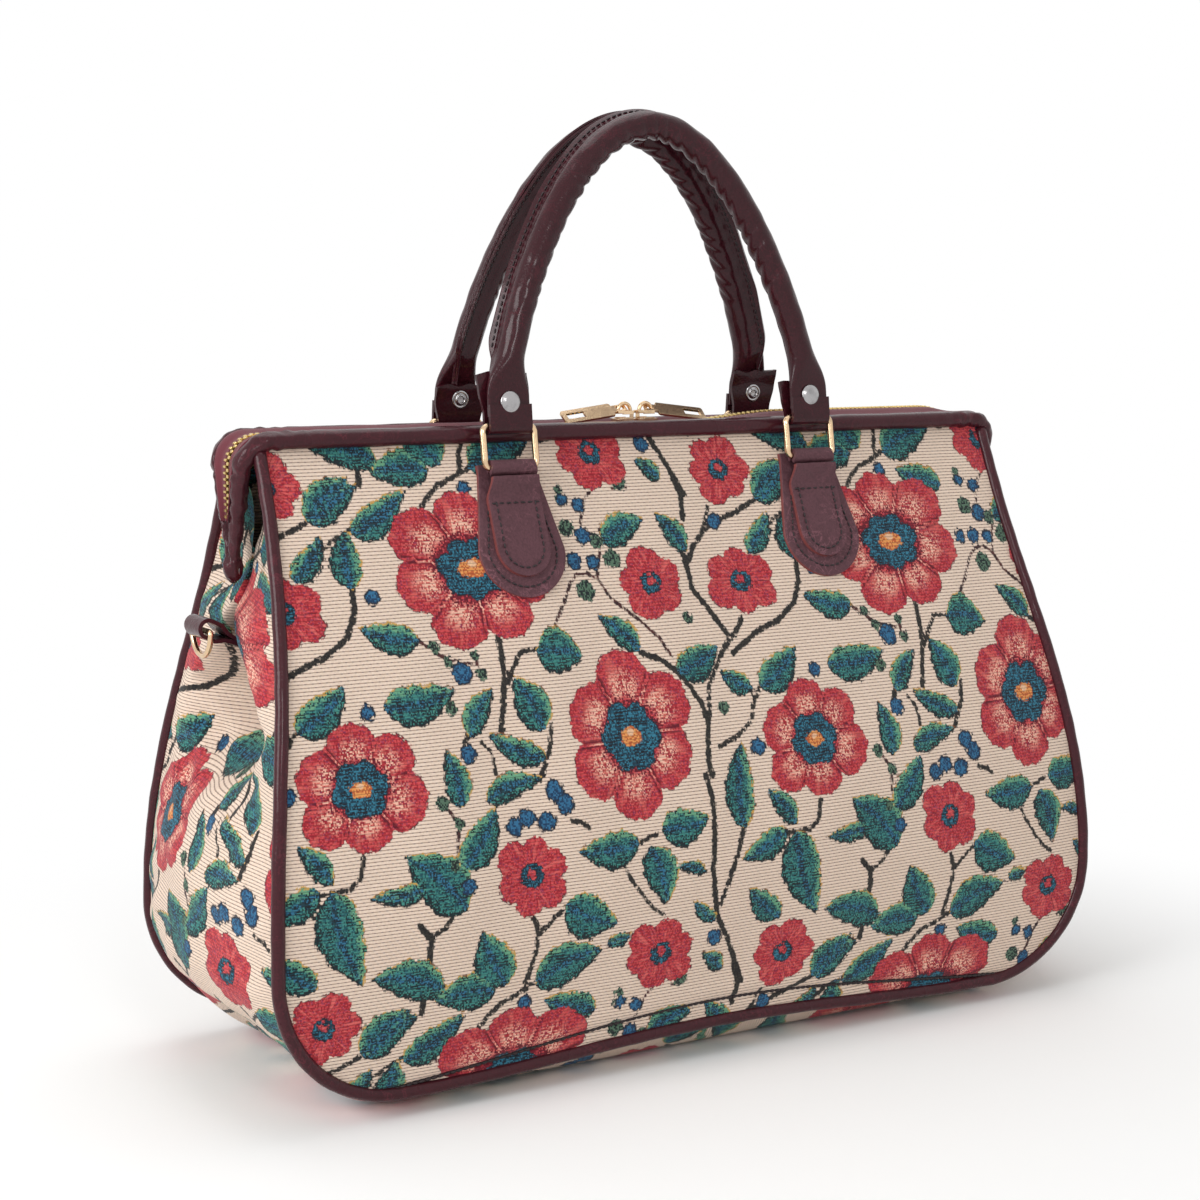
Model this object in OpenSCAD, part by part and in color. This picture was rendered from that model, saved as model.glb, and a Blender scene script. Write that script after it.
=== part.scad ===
// Zipped tapestry handbag on a hinged wire frame, with two gathered leather handles.
// Millimetres, Z up, the front panel faces -Y, the origin is under the middle of the base.

/* [Body] */
// Width across the piping at the widest height
body_w = 420; // [400:1:450]
// Width across the piping at the top of the side seams
seam_top_w = 380; // [370:1:384]
// Height of the top of the side seams
seam_top_z = 262; // [256:1:266]
// Height of the piping at the bottom corners
seam_base_z = 10; // [9:0.5:14]
// Rise of the bottom piping towards its middle
base_bow = 6; // [0:0.5:10]
// Radius of the bottom corners of the panels
corner_r = 55; // [45:1:70]
// Height where the flat upper slope of the panels ends
shoulder_z = 195; // [180:1:200]
// Depth across the panels at the shoulder
shoulder_d = 96; // [88:1:108]
// Height of the greatest depth
belly_z = 60; // [45:1:80]
// Extra outward swell of the middle of a panel
belly_swell = 6; // [0:0.5:10]
// Thickness of the lined tapestry cloth
cloth_t = 2.4; // [1.8:0.1:3]
// Depth of the valley fold down the middle of each side
valley_d = 38; // [30:1:40]
// Height of the puffs beside the valley fold
ridge_h = 5; // [3:0.5:7]
// Outward bulge of the sides above the base corners
side_bulge = 14; // [8:1:16]
// Inward dip of the strip at the base corners
corner_dip = 15; // [8:1:17]
// Diameter of the piping
piping_d = 5.8; // [4.5:0.1:6.5]
// Thickness of the base board
board_t = 3; // [2:0.5:5]
// Width of the base board
board_w = 92; // [70:1:96]

/* [Frame] */
// Height of the rail axes above the side seams
rail_rise = 14; // [10:1:22]
// Distance between the rail axes
rail_gap = 32; // [30:0.5:36]
// Distance between the leg axes of one frame half
leg_span = 392; // [391:1:400]
// Drop of the frame hinges below the rail axes
hinge_drop = 54; // [48:1:60]
// Diameter of the leather rail cover
rail_d = 7.4; // [6.6:0.1:8]
// Diameter of the frame wire
wire_d = 3.2; // [2.6:0.1:3.4]
// Bend radius of the rail axes at the corners
bend_r = 12; // [10:0.5:16]

/* [Zip] */
// Height of the chain above the rail axes
zip_rise = 5.5; // [5.2:0.1:7]
// Drop of the lower ends of the chain below the rail axes
zip_end_drop = 34; // [28:1:38]
// Distance between teeth of one row
tooth_pitch = 2.6; // [2.2:0.1:3.2]
// Height of the chain
tooth_t = 2; // [1.6:0.1:2.4]
// Width of the closed chain
chain_w = 5.2; // [4.6:0.1:5.6]
// Slit between the two rows of teeth
chain_slit = 1; // [0.9:0.05:1.4]
// Thickness of the zip tape
tape_t = 0.8; // [0.6:0.1:1]
// Length of a slider
slider_l = 10; // [9:0.5:10.5]
// Distance from the middle of the chain to the middle of a slider
slider_x = 5.6; // [5.5:0.1:8]
// Length of a puller plate
puller_l = 26; // [20:1:32]
// Width of a puller plate
puller_w = 8; // [6:0.5:9]

/* [Handles] */
// Distance between the middles of the two ends of a handle
handle_span = 158; // [150:1:166]
// Length of the handles above the upper bars of the rings
handle_rise = 138; // [125:1:150]
// Diameter of the padded handle tube
handle_d = 12.4; // [11.6:0.2:14]
// Reach of the sewn edge beyond the handle tube
edge_w = 4.6; // [3.6:0.2:5.2]
// Thickness of the sewn edge
edge_t = 2.6; // [2:0.1:3.2]
// Distance of each handle from the middle plane
handle_y = 25; // [24.6:0.1:28]
// Inward lean of the handles in degrees
handle_lean = 5.5; // [4:0.5:6]
// Number of gathers along the arch
gather_count = 22; // [16:2:26]
// Height of the gathers
gather_h = 1.2; // [0.6:0.1:1.6]
// Width of the flat strap ends
strap_w = 20; // [18:0.5:20.5]
// Thickness of the folded strap ends
strap_t = 5.6; // [4.8:0.1:6]
// Diameter of the handle rivet heads
rivet_head_d = 9.4; // [8.6:0.2:10.4]

/* [Rings and patches] */
// Distance between the side bars of a handle ring, on the wire axes
ring_w = 25; // [24:0.5:28]
// Diameter of the ring wire
ring_wire_d = 3; // [2.6:0.1:3.2]
// Drop of the lower bars of the handle rings below the rail axes
ring_drop = 14; // [13:0.5:17]
// Height of the upper bars of the handle rings above the lower bars
ring_rise = 18; // [17:0.5:22]
// Width of a leather patch
patch_w = 42; // [36:1:48]
// Length of a leather patch
patch_l = 60; // [54:1:64]
// Thickness of the patch and strap leather
leather_t = 1.8; // [1.4:0.1:2]
// Width of the patch strap below its loop
patch_strap_w = 26; // [24:0.5:28]
// Length of the patch strap below its loop
patch_strap_l = 48; // [42:1:50]

/* [Side tabs] */
// Height of the root of a side tab
tab_z = 178; // [172:1:184]
// Length of a side tab from its root to the loop
tab_l = 38; // [34:1:42]
// Width of a side tab
tab_w = 17; // [12:0.5:18]
// Rise of a side tab in degrees
tab_rise = 26; // [10:1:35]
// Radius of the round side of a D-ring, on the wire axis
d_ring_r = 11; // [10.6:0.1:13]
// Diameter of the D-ring wire
d_ring_wire_d = 2.5; // [2:0.1:2.6]

/* [Hidden] */
$fn = 48;

fit_gap = 0.3;
pin_gap = 0.1;
cut_over = 1;

tapestry = [0.78, 0.62, 0.55];
leather = [0.31, 0.18, 0.20];
dark_leather = [0.24, 0.13, 0.15];
tape_red = [0.45, 0.12, 0.16];
gold = [0.83, 0.68, 0.36];
silver = [0.78, 0.78, 0.80];
board_grey = [0.35, 0.33, 0.32];

rail_z = seam_top_z + rail_rise;
hinge_z = rail_z - hinge_drop;
zip_end_z = rail_z - zip_end_drop;
ring_low_z = rail_z - ring_drop;
ring_top_z = ring_low_z + ring_rise;
half_w = body_w / 2;
seam_top_half = seam_top_w / 2;
corner_x = half_w - corner_r;
corner_z = seam_base_z + corner_r;
piping_r = piping_d / 2;
seam_inset = piping_r + fit_gap;
rail_r = rail_d / 2;
rail_y = rail_gap / 2;
panel_top_z = rail_z - rail_r - fit_gap;
panel_slope = (shoulder_d / 2 - rail_y) / (panel_top_z - shoulder_z);
side_steps = 16;
corner_steps = 8;
base_steps = 6;

// Half depth of the panel surface at a height
function depth_at(z) =
    z >= shoulder_z
        ? shoulder_d / 2 - panel_slope * (z - shoulder_z)
        : let (h = shoulder_z - z)
            shoulder_d / 2 + panel_slope * (h - h * h / (2 * (shoulder_z - belly_z)));

// Half width between the side seams at a height
function half_at(z) =
    let (s = min(1, max(0, (seam_top_z - z) / (seam_top_z - corner_z))))
        seam_top_half + (half_w - seam_top_half) * (1 - cos(180 * s)) / 2;

// Rise of the bottom seam at a place along the base
function bow_at(x) = base_bow * (1 + cos(180 * min(1, abs(x) / corner_x))) / 2;

// Seam points [x, z] of the left half, moved inward by inset, from the top of the side to the middle
function seam_side(i, inset) =
    let (z = seam_top_z + (corner_z - seam_top_z) * i / side_steps)
        [-(half_at(z) - inset), z];
function seam_corner(i, inset) =
    let (a = 90 * i / corner_steps)
        [-corner_x - (corner_r - inset) * cos(a), corner_z - (corner_r - inset) * sin(a)];
function seam_base(i, inset) =
    let (x = -corner_x * (1 - i / base_steps))
        [x, seam_base_z + bow_at(x) + inset];
function seam_half(inset) = concat(
    [for (i = [0:side_steps]) seam_side(i, inset)],
    [for (i = [1:corner_steps]) seam_corner(i, inset)],
    [for (i = [1:base_steps]) seam_base(i, inset)]);

function unit(v) = v / norm(v);
function tangent(path, i) = unit(path[min(i + 1, len(path) - 1)] - path[max(i - 1, 0)]);

// The left half of a list of rings, followed by its mirror image
function both_sides(rings) = concat(rings,
    [for (i = [len(rings) - 2:-1:0]) [for (p = rings[i]) [-p[0], p[1], p[2]]]]);

// Closed skin over a row of rings with an even number of points, which run anticlockwise
// about the direction from the first ring to the last. Each patch is split along its shorter diagonal.
module skin(rings) {
    n = len(rings[0]);
    last = (len(rings) - 1) * n;
    polyhedron(
        points = [for (ring = rings) for (p = ring) p],
        faces = concat(
            [for (j = [0:n / 2 - 2]) each [[j, j + 1, n - 2 - j], [j, n - 2 - j, n - 1 - j]]],
            [for (i = [0:len(rings) - 2]) for (j = [0:n - 1])
                let (k = (j + 1) % n, a = i * n, b = a + n)
                each norm(rings[i][j] - rings[i + 1][k]) < norm(rings[i + 1][j] - rings[i][k])
                    ? [[a + j, b + j, b + k], [a + j, b + k, a + k]]
                    : [[a + j, b + j, a + k], [b + j, b + k, a + k]]],
            [for (j = [0:n / 2 - 2])
                each [[last + j, last + n - 2 - j, last + j + 1],
                      [last + j, last + n - 1 - j, last + n - 2 - j]]]),
        convexity = 10);
}

// Round bar with a number of flat sides along a path that never runs along Y
module round_sweep(path, r, sides) {
    skin([for (i = [0:len(path) - 1])
        let (t = tangent(path, i), u = unit(cross(t, [0, 1, 0])), v = cross(t, u))
        [for (j = [0:sides - 1]) path[i] + r * (cos(360 * j / sides) * u + sin(360 * j / sides) * v)]]);
}

module front_or_back(back) {
    if (back) mirror([0, 1, 0]) children();
    else children();
}

module left_or_right(right) {
    if (right) mirror([1, 0, 0]) children();
    else children();
}

// Cloth panel: rows of points from the rail down to the bottom seam
panel_column_shares = [-1, -0.75, -0.5, -0.25, 0, 0.25, 0.5, 0.75, 1];
panel_top_half = leg_span / 2 - bend_r - rail_r;

function panel_swell(z, c) =
    let (s = min(1, max(0, (shoulder_z - z) / (shoulder_z - seam_base_z))))
        belly_swell * (1 - c * c) * pow(sin(180 * s), 2);

function panel_row(half, z, bow_share) =
    let (places = [for (c = panel_column_shares)
        let (x = -half * c, zx = z + bow_share * bow_at(x))
            [x, -depth_at(zx) - panel_swell(zx, c), zx]])
    concat(
        [for (p = places) p - [0, cloth_t / 2, 0]],
        [for (i = [len(places) - 1:-1:0]) places[i] + [0, cloth_t / 2, 0]]);

module panel(back) {
    side_rows = [for (i = [0:side_steps])
        let (p = seam_side(i, seam_inset)) panel_row(-p[0], p[1], 0)];
    corner_rows = [for (i = [1:corner_steps])
        let (p = seam_corner(i, seam_inset)) panel_row(-p[0], p[1], pow(i / corner_steps, 2))];
    color(tapestry)
        front_or_back(back)
            skin(concat([panel_row(panel_top_half, panel_top_z, 0)], side_rows, corner_rows));
}

module front_panel() { panel(false); }
module back_panel() { panel(true); }

// Piping along the seam of one panel
module piping(back) {
    half = [for (p = seam_half(0)) [p[0], -depth_at(p[1]), p[1]]];
    path = concat(half, [for (i = [len(half) - 2:-1:0]) [-half[i][0], half[i][1], half[i][2]]]);
    color(leather) front_or_back(back) round_sweep(path, piping_r, 6);
}

module front_piping() { piping(false); }
module back_piping() { piping(true); }

// Side and base strip. Each column gives its place across the strip and how far it follows the
// flat base.
strip_shares = [[-1, 0], [-0.9, 0.75], [-0.72, 1], [-0.54, 1], [-0.36, 1], [-0.18, 1], [0, 1],
    [0.18, 1], [0.36, 1], [0.54, 1], [0.72, 1], [0.9, 0.75], [1, 0]];
strip_side_steps = 24;
valley_top_drop = 14;
valley_open_drop = 52;
valley_end_drop = 100;
bulge_top_drop = 72;
bulge_full_rise = 30;
puff_top_rise = 28;
frame_cover = 20;
frame_recess = 6;
hinge_recess = 7;
valley_top_z = hinge_z - valley_top_drop;
valley_open_z = hinge_z - valley_open_drop;
valley_end_z = hinge_z - valley_end_drop;
valley_mouth_share = 0.12;
valley_wide_share = 0.8;
valley_floor_share = 0.15;
notch_cover = 2;

function ease(from, to, v) =
    let (t = min(1, max(0, (v - from) / (to - from)))) t * t * (3 - 2 * t);

// The valley starts as a crease below the hinge, opens downwards and ends in the bulge above the base
function valley_open(z) = min(1, max(0, (valley_top_z - z) / (valley_top_z - valley_open_z)));
function valley_width(z) =
    valley_mouth_share + (valley_wide_share - valley_mouth_share) * pow(valley_open(z), 1.3);
function valley_at(z) =
    (hinge_recess + (valley_d - hinge_recess) * sin(90 * valley_open(z)))
        * ease(valley_end_z, valley_open_z, z);
function puff_at(z) =
    let (top = hinge_z + puff_top_rise)
        ridge_h * pow(sin(180 * min(1, max(0, (top - z) / (top - valley_end_z)))), 2);
function strip_out(z, share) =
    let (place = abs(share) / valley_width(z))
        half_at(z)
            + side_bulge * ease(hinge_z - bulge_top_drop, corner_z + bulge_full_rise, z) * (1 - pow(share, 2))
            - valley_at(z) * (1 - ease(valley_floor_share, 1, place))
            + puff_at(z) * ease(0.6, 1.1, place) * (1 - pow(share, 8))
            - frame_recess * ease(hinge_z - frame_cover, hinge_z, z) * (1 - pow(share, 4));
function strip_y(z, share) = share * (depth_at(z) - seam_inset);

// Top edge of the strip, which follows the frame legs down to the hinge
function notch_z(share) =
    min(seam_top_z, hinge_z + (rail_z - hinge_z) * abs(strip_y(seam_top_z, share)) / rail_y + notch_cover);

function strip_side(i, c, face) =
    let (z_edge = seam_top_z + (corner_z - seam_top_z) * i / strip_side_steps,
         z = corner_z + (z_edge - corner_z) * (notch_z(c[0]) - corner_z) / (seam_top_z - corner_z),
         out = strip_out(z, c[0]) + face * cloth_t / 2)
        [-out, strip_y(z_edge, c[0]), z];
function strip_corner(i, c, face) =
    let (a = 90 * i / corner_steps,
         middle = 1 - pow(c[0], 2),
         r = corner_r + c[1] * (seam_base_z - cloth_t / 2) * pow(sin(a), 2)
             + side_bulge * middle * pow(cos(a), 2) - corner_dip * middle * pow(sin(2 * a), 2)
             + face * cloth_t / 2)
        [-corner_x - r * cos(a), strip_y(seam_corner(i, 0)[1], c[0]), corner_z - r * sin(a)];
function strip_base(i, c, face) =
    let (p = seam_base(i, 0))
        [p[0], strip_y(p[1], c[0]), p[1] - c[1] * (p[1] - cloth_t / 2) - face * cloth_t / 2];

function strip_ring(kind, i) =
    let (n = len(strip_shares) - 1)
    [for (face = [1, -1]) for (k = [0:n])
        let (c = strip_shares[face > 0 ? k : n - k])
        kind == "side" ? strip_side(i, c, face)
            : kind == "corner" ? strip_corner(i, c, face) : strip_base(i, c, face)];

module gusset_strip() {
    color(tapestry)
        skin(both_sides(concat(
            [for (i = [0:strip_side_steps]) strip_ring("side", i)],
            [for (i = [1:corner_steps]) strip_ring("corner", i)],
            [for (i = [1:base_steps]) strip_ring("base", i)])));
}

board_corner_r = 12;

module rounded_plate(l, w, r) {
    square([l - 2 * r, w], center = true);
    square([l, w - 2 * r], center = true);
    for (x = [-1, 1]) for (y = [-1, 1])
        translate([x * (l / 2 - r), y * (w / 2 - r)]) circle(r);
}

module base_board() {
    color(board_grey)
        translate([0, 0, cloth_t + fit_gap])
            linear_extrude(board_t)
                rounded_plate(2 * corner_x, board_w, board_corner_r);
}

// Frame half: a wire bent to a wide U, tilted about its hinges
leg_x = leg_span / 2;
frame_rise = norm([rail_z - hinge_z, rail_y]);
frame_tilt = atan2(rail_y, rail_z - hinge_z);
wire_bore_d = wire_d + fit_gap;
hinge_plate_t = 1.2;
hinge_plate_gap = 0.3;
shank_share = 0.7;
hinge_eye_d = 8;
shank_w = wire_d * shank_share;
hinge_pin_d = 4;
hinge_head_d = 6.4;
hinge_head_t = 1;
wire_stop = (wire_d / 2 + fit_gap) / sin(frame_tilt);
cover_stop = (rail_r + fit_gap) / sin(frame_tilt);

module bent_rod(d, stop) {
    flat_x = leg_x - bend_r;
    leg_l = frame_rise - bend_r - stop;
    translate([-flat_x, 0, frame_rise]) rotate([0, 90, 0]) cylinder(d = d, h = 2 * flat_x);
    for (side = [-1, 1]) {
        translate([side * leg_x, 0, stop]) cylinder(d = d, h = leg_l);
        translate([side * flat_x, 0, frame_rise - bend_r])
            rotate([90, 0, side > 0 ? 0 : 180])
                rotate_extrude(angle = 90) translate([bend_r, 0]) circle(d = d);
    }
}

module on_frame(back) {
    front_or_back(back)
        translate([0, 0, hinge_z]) rotate([frame_tilt, 0, 0]) children();
}

module rail_cover(back) {
    color(leather)
        on_frame(back)
            difference() {
                bent_rod(rail_d, cover_stop);
                bent_rod(wire_bore_d, cover_stop - cut_over);
            }
}

module front_rail_cover() { rail_cover(false); }
module back_rail_cover() { rail_cover(true); }

// The flattened eyes of the two halves lie side by side on each hinge pin
wire_sides = 8;
bend_steps = 6;

function wire_half() = concat([[-leg_x, 0, wire_stop]],
    [for (i = [0:bend_steps])
        let (a = 90 * i / bend_steps)
        [-leg_x + bend_r * (1 - cos(a)), 0, frame_rise - bend_r * (1 - sin(a))]]);

module frame_wire(back) {
    eye_x = leg_x - hinge_plate_gap / 2 - hinge_plate_t;
    half = wire_half();
    path = concat(half, [for (i = [len(half) - 1:-1:0]) [-half[i][0], 0, half[i][2]]]);
    color(silver)
        on_frame(back) {
            round_sweep(path, wire_d / 2, wire_sides);
            for (side = [-1, 1])
                translate([side * (back ? 2 * leg_x - eye_x - hinge_plate_t : eye_x), 0, 0])
                    rotate([90, 0, 90]) mirror([0, 0, side < 0 ? 1 : 0])
                        linear_extrude(hinge_plate_t)
                            difference() {
                                union() {
                                    circle(d = hinge_eye_d);
                                    translate([-shank_w / 2, 0]) square([shank_w, wire_stop + wire_d]);
                                }
                                circle(d = hinge_pin_d + 2 * pin_gap);
                            }
        }
}

module front_frame_wire() { frame_wire(false); }
module back_frame_wire() { frame_wire(true); }

module frame_hinge_pins() {
    inner = leg_x - hinge_plate_gap / 2 - hinge_plate_t - pin_gap;
    grip = 2 * (hinge_plate_t + pin_gap) + hinge_plate_gap;
    color(silver)
        for (side = [0, 1])
            mirror([side, 0, 0])
                translate([inner, 0, hinge_z]) rotate([0, 90, 0]) {
                    cylinder(d = hinge_pin_d, h = grip);
                    translate([0, 0, -hinge_head_t]) cylinder(d = hinge_head_d, h = hinge_head_t);
                    translate([0, 0, grip]) cylinder(d = hinge_head_d, h = hinge_head_t);
                }
}

// Zip path in the XZ plane: a place at a length along the chain and a height above the rail axis
zip_leg_l = rail_z - bend_r - zip_end_z;
zip_bend_l = PI / 2 * (bend_r + zip_rise);
zip_flat_l = 2 * (leg_x - bend_r);
zip_l = 2 * (zip_leg_l + zip_bend_l) + zip_flat_l;

function zip_left(s, n) =
    s <= zip_leg_l ? [-leg_x - n, zip_end_z + s]
    : s < zip_leg_l + zip_bend_l
        ? let (a = 90 * (s - zip_leg_l) / zip_bend_l)
            [-leg_x + bend_r - (bend_r + n) * cos(a), rail_z - bend_r + (bend_r + n) * sin(a)]
        : [-leg_x + bend_r + s - zip_leg_l - zip_bend_l, rail_z + n];
function zip_at(s, n) =
    s <= zip_l / 2 ? zip_left(s, n) : let (p = zip_left(zip_l - s, n)) [-p[0], p[1]];

// Tape: flat beside the chain for the sliders, then down to the top of the rail cover
tape_flat_y = 6;
tape_flat_share = 0.6;
tape_edge_share = 0.95;

function tape_ring(s) =
    let (z_axis = zip_at(s, 0)[1],
         axis_y = rail_y * (z_axis - hinge_z) / (rail_z - hinge_z),
         seat = rail_r + fit_gap + tape_t / 2,
         places = [[chain_w / 2 + pin_gap, zip_rise],
                   [min(tape_flat_y, axis_y * tape_flat_share), zip_rise],
                   [axis_y * tape_edge_share, seat]])
    [for (face = [1, -1]) for (k = [0:2])
        let (q = places[face > 0 ? k : 2 - k], p = zip_at(s, q[1] + face * tape_t / 2))
            [p[0], -q[0], p[1]]];

module zip_tape(back) {
    stations = concat([0], [for (i = [0:bend_steps]) zip_leg_l + zip_bend_l * i / bend_steps]);
    color(tape_red)
        front_or_back(back) skin(both_sides(concat([for (s = stations) tape_ring(s)],
            [tape_ring(zip_l / 2)])));
}

module front_zip_tape() { zip_tape(false); }
module back_zip_tape() { zip_tape(true); }

// One row of teeth as a comb; the second row is set half a pitch along
tooth_gap_share = 0.35;
tooth_root_share = 0.1;

module zip_teeth(back) {
    count = floor(zip_l / tooth_pitch) - 1;
    start = (zip_l - count * tooth_pitch) / 2 + (back ? tooth_pitch / 4 : -tooth_pitch / 4);
    low = zip_rise - tooth_t / 2;
    root = zip_rise + tooth_t * tooth_root_share;
    top = zip_rise + tooth_t / 2;
    crown = tooth_pitch * (1 - tooth_gap_share);
    edge = [for (i = [0:count - 1])
        let (s = start + i * tooth_pitch)
        each [zip_at(s, root), zip_at(s, top), zip_at(s + crown, top), zip_at(s + crown, root)]];
    under = [for (i = [count - 1:-1:0])
        zip_at(start + i * tooth_pitch + (i == count - 1 ? crown : 0), low)];
    color(gold)
        front_or_back(back)
            translate([0, -chain_slit / 2, 0]) rotate([90, 0, 0])
                linear_extrude((chain_w - chain_slit) / 2)
                    polygon(concat(edge, under));
}

module front_zip_teeth() { zip_teeth(false); }
module back_zip_teeth() { zip_teeth(true); }

// Slider: two plates joined by a post in the slit, with flanges beside the chain and a bail
plate_t = 1.1;
flange_t = 1.2;
post_t = 0.5;
post_l = 2;
bail_r = 3.2;
bail_d = 1.8;
slider_tail_share = 0.8;
slider_nose_share = 0.55;
channel_h = tooth_t + 2 * fit_gap;
slider_w = chain_w + 2 * (fit_gap + flange_t);
tape_slot = tape_t + 2 * fit_gap;
pull_bar_d = 1.6;
pull_axis_z = channel_h / 2 + plate_t + pull_bar_d / 2 + fit_gap;

module slider_plate() {
    l = slider_l / 2;
    w = slider_w / 2;
    polygon([[-l, -w * slider_tail_share], [-l * slider_nose_share, -w], [l * slider_nose_share, -w],
             [l, -w * slider_nose_share], [l, w * slider_nose_share], [l * slider_nose_share, w],
             [-l * slider_nose_share, w], [-l, w * slider_tail_share]]);
}

module slider_half() {
    translate([0, 0, channel_h / 2]) linear_extrude(plate_t) slider_plate();
    for (side = [-1, 1])
        translate([-slider_l / 2 * slider_nose_share, side * (slider_w - flange_t) / 2 - flange_t / 2,
                   tape_slot / 2])
            cube([slider_l * slider_nose_share, flange_t, (channel_h - tape_slot) / 2]);
}

module slider(right) {
    color(gold)
        left_or_right(right)
            translate([-slider_x, 0, rail_z + zip_rise]) {
                slider_half();
                mirror([0, 0, 1]) slider_half();
                translate([slider_l / 2 - post_l, -post_t / 2, -channel_h / 2])
                    cube([post_l, post_t, channel_h]);
                translate([0, 0, channel_h / 2 + plate_t])
                    rotate([90, 0, 0]) rotate_extrude(angle = 180)
                        translate([bail_r, 0]) circle(d = bail_d);
            }
}

module left_slider() { slider(false); }
module right_slider() { slider(true); }

// Puller: a bar through the bail, two cheeks and a plate with a window
cheek_t = 0.9;
cheek_gap = 0.4;
puller_t = 1.2;
puller_corner_r = 1.2;
window_l = 9;
window_edge = 2.2;

module puller(right) {
    cheek_y = bail_d / 2 + cheek_gap;
    neck_x = bail_r + bail_d / 2 + cheek_gap;
    neck_l = 2 * cheek_t;
    color(gold)
        left_or_right(right)
            translate([-slider_x, 0, rail_z + zip_rise + pull_axis_z]) {
                rotate([90, 0, 0]) cylinder(d = pull_bar_d, h = 2 * (cheek_y + cheek_t), center = true);
                for (side = [-1, 1])
                    translate([-neck_x - neck_l, side * (cheek_y + cheek_t / 2) - cheek_t / 2, -puller_t / 2])
                        cube([neck_x + neck_l, cheek_t, puller_t]);
                translate([-neck_x - neck_l, -cheek_y, -puller_t / 2])
                    cube([neck_l, 2 * cheek_y, puller_t]);
                translate([-neck_x - neck_l - puller_l / 2, 0, -puller_t / 2])
                    linear_extrude(puller_t)
                        difference() {
                            rounded_plate(puller_l, puller_w, puller_corner_r);
                            translate([-(puller_l - window_l) / 2 + window_edge, 0])
                                square([window_l, puller_w - 2 * window_edge], center = true);
                        }
            }
}

module left_puller() { puller(false); }
module right_puller() { puller(true); }

// Handle: gathered tube over a pointed arch, with a sewn edge on the side of the other handle,
// flattened to a strap at each end. Heights start at the upper bar of the ring.
ring_bore_d = ring_wire_d + 2 * fit_gap;
loop_d = ring_bore_d + 2 * leather_t;
loop_w = ring_w - ring_wire_d - 4 * fit_gap;
neck_h = loop_d / 2 + fit_gap;
rivet_h = 10;
strap_h = 15;
arch_low_h = 16;
tube_h = 30;
gather_low_h = 50;
gather_full_h = 80;
rivet_post_d = 4;
handle_r = handle_d / 2;
handle_half = handle_span / 2;
arch_top_h = handle_rise - handle_r;
arch_power = 1.6;
arch_spread = 0.75;
gather_rings = 4;
arch_steps = gather_count * gather_rings / 2;
edge_angle = -45;
edge_root = 28;
edge_tip = 9;
round_points = 10;

function round_angle(j) = edge_angle + edge_root + (360 - 2 * edge_root) * (j - 1) / (round_points - 1);
function edge_point(across) =
    let (along = handle_r + edge_w)
        [along * cos(edge_angle) - across * sin(edge_angle),
         along * sin(edge_angle) + across * cos(edge_angle)];

// Section of the tube; the gathers stand on the inner side
function tube_section(dent) = concat(
    [edge_point(edge_t / 2)],
    [for (j = [1:round_points])
        let (a = round_angle(j), r = handle_r - dent * pow((1 - cos(a)) / 2, 2)) [r * cos(a), r * sin(a)]],
    [edge_point(-edge_t / 2)]);
function strap_point(a) =
    [strap_w / 2 * sign(cos(a)) * sqrt(abs(cos(a))), strap_t / 2 * sign(sin(a)) * sqrt(abs(sin(a)))];
strap_section = concat(
    [strap_point(edge_angle + edge_tip)],
    [for (j = [1:round_points]) strap_point(round_angle(j))],
    [strap_point(edge_angle - edge_tip)]);

function handle_ring_at(centre, out, section) = [for (p = section) centre + p[0] * out - [0, p[1], 0]];
function arch_point(share) =
    let (a = 90 * pow(min(1, max(0, share)), arch_spread))
        [-handle_half * cos(a), 0, arch_low_h + (arch_top_h - arch_low_h) * pow(sin(a), arch_power)];
function arch_ring(i) =
    let (p = arch_point(i / arch_steps),
         t = i == arch_steps ? [1, 0, 0]
             : unit(arch_point((i + 0.5) / arch_steps) - arch_point((i - 0.5) / arch_steps)),
         dent = gather_h * (1 - abs(sin(180 * i / gather_rings))) * ease(gather_low_h, gather_full_h, p[2]),
         share = ease(strap_h, tube_h, p[2]))
        handle_ring_at(p, [-t[2], 0, t[0]], (1 - share) * strap_section + share * tube_section(dent));

module on_ring_bar() {
    translate([0, -handle_y, ring_top_z]) rotate([-handle_lean, 0, 0]) children();
}

module handle(back) {
    foot = [for (h = [neck_h, strap_h]) handle_ring_at([-handle_half, 0, h], [-1, 0, 0], strap_section)];
    arch = [for (i = [0:arch_steps]) arch_ring(i)];
    color(leather)
        front_or_back(back)
            on_ring_bar()
                difference() {
                    union() {
                        skin(both_sides(concat(foot, arch)));
                        for (side = [-1, 1])
                            translate([side * handle_half, 0, 0]) {
                                rotate([0, 90, 0]) cylinder(d = loop_d, h = loop_w, center = true);
                                translate([-loop_w / 2, -strap_t / 2 + fit_gap, 0])
                                    cube([loop_w, strap_t - 2 * fit_gap, neck_h + fit_gap]);
                            }
                    }
                    for (side = [-1, 1])
                        translate([side * handle_half, 0, 0]) {
                            rotate([0, 90, 0]) cylinder(d = ring_bore_d, h = ring_w, center = true);
                            translate([0, 0, rivet_h]) rotate([90, 0, 0])
                                cylinder(d = rivet_post_d + 2 * pin_gap, h = 2 * strap_t, center = true);
                        }
                }
}

module front_handle() { handle(false); }
module back_handle() { handle(true); }

// Rivets: a domed cap in front, a flat socket behind
rivet_dome_h = 2.6;
rivet_rim_h = 0.8;
rivet_back_share = 0.85;

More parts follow.
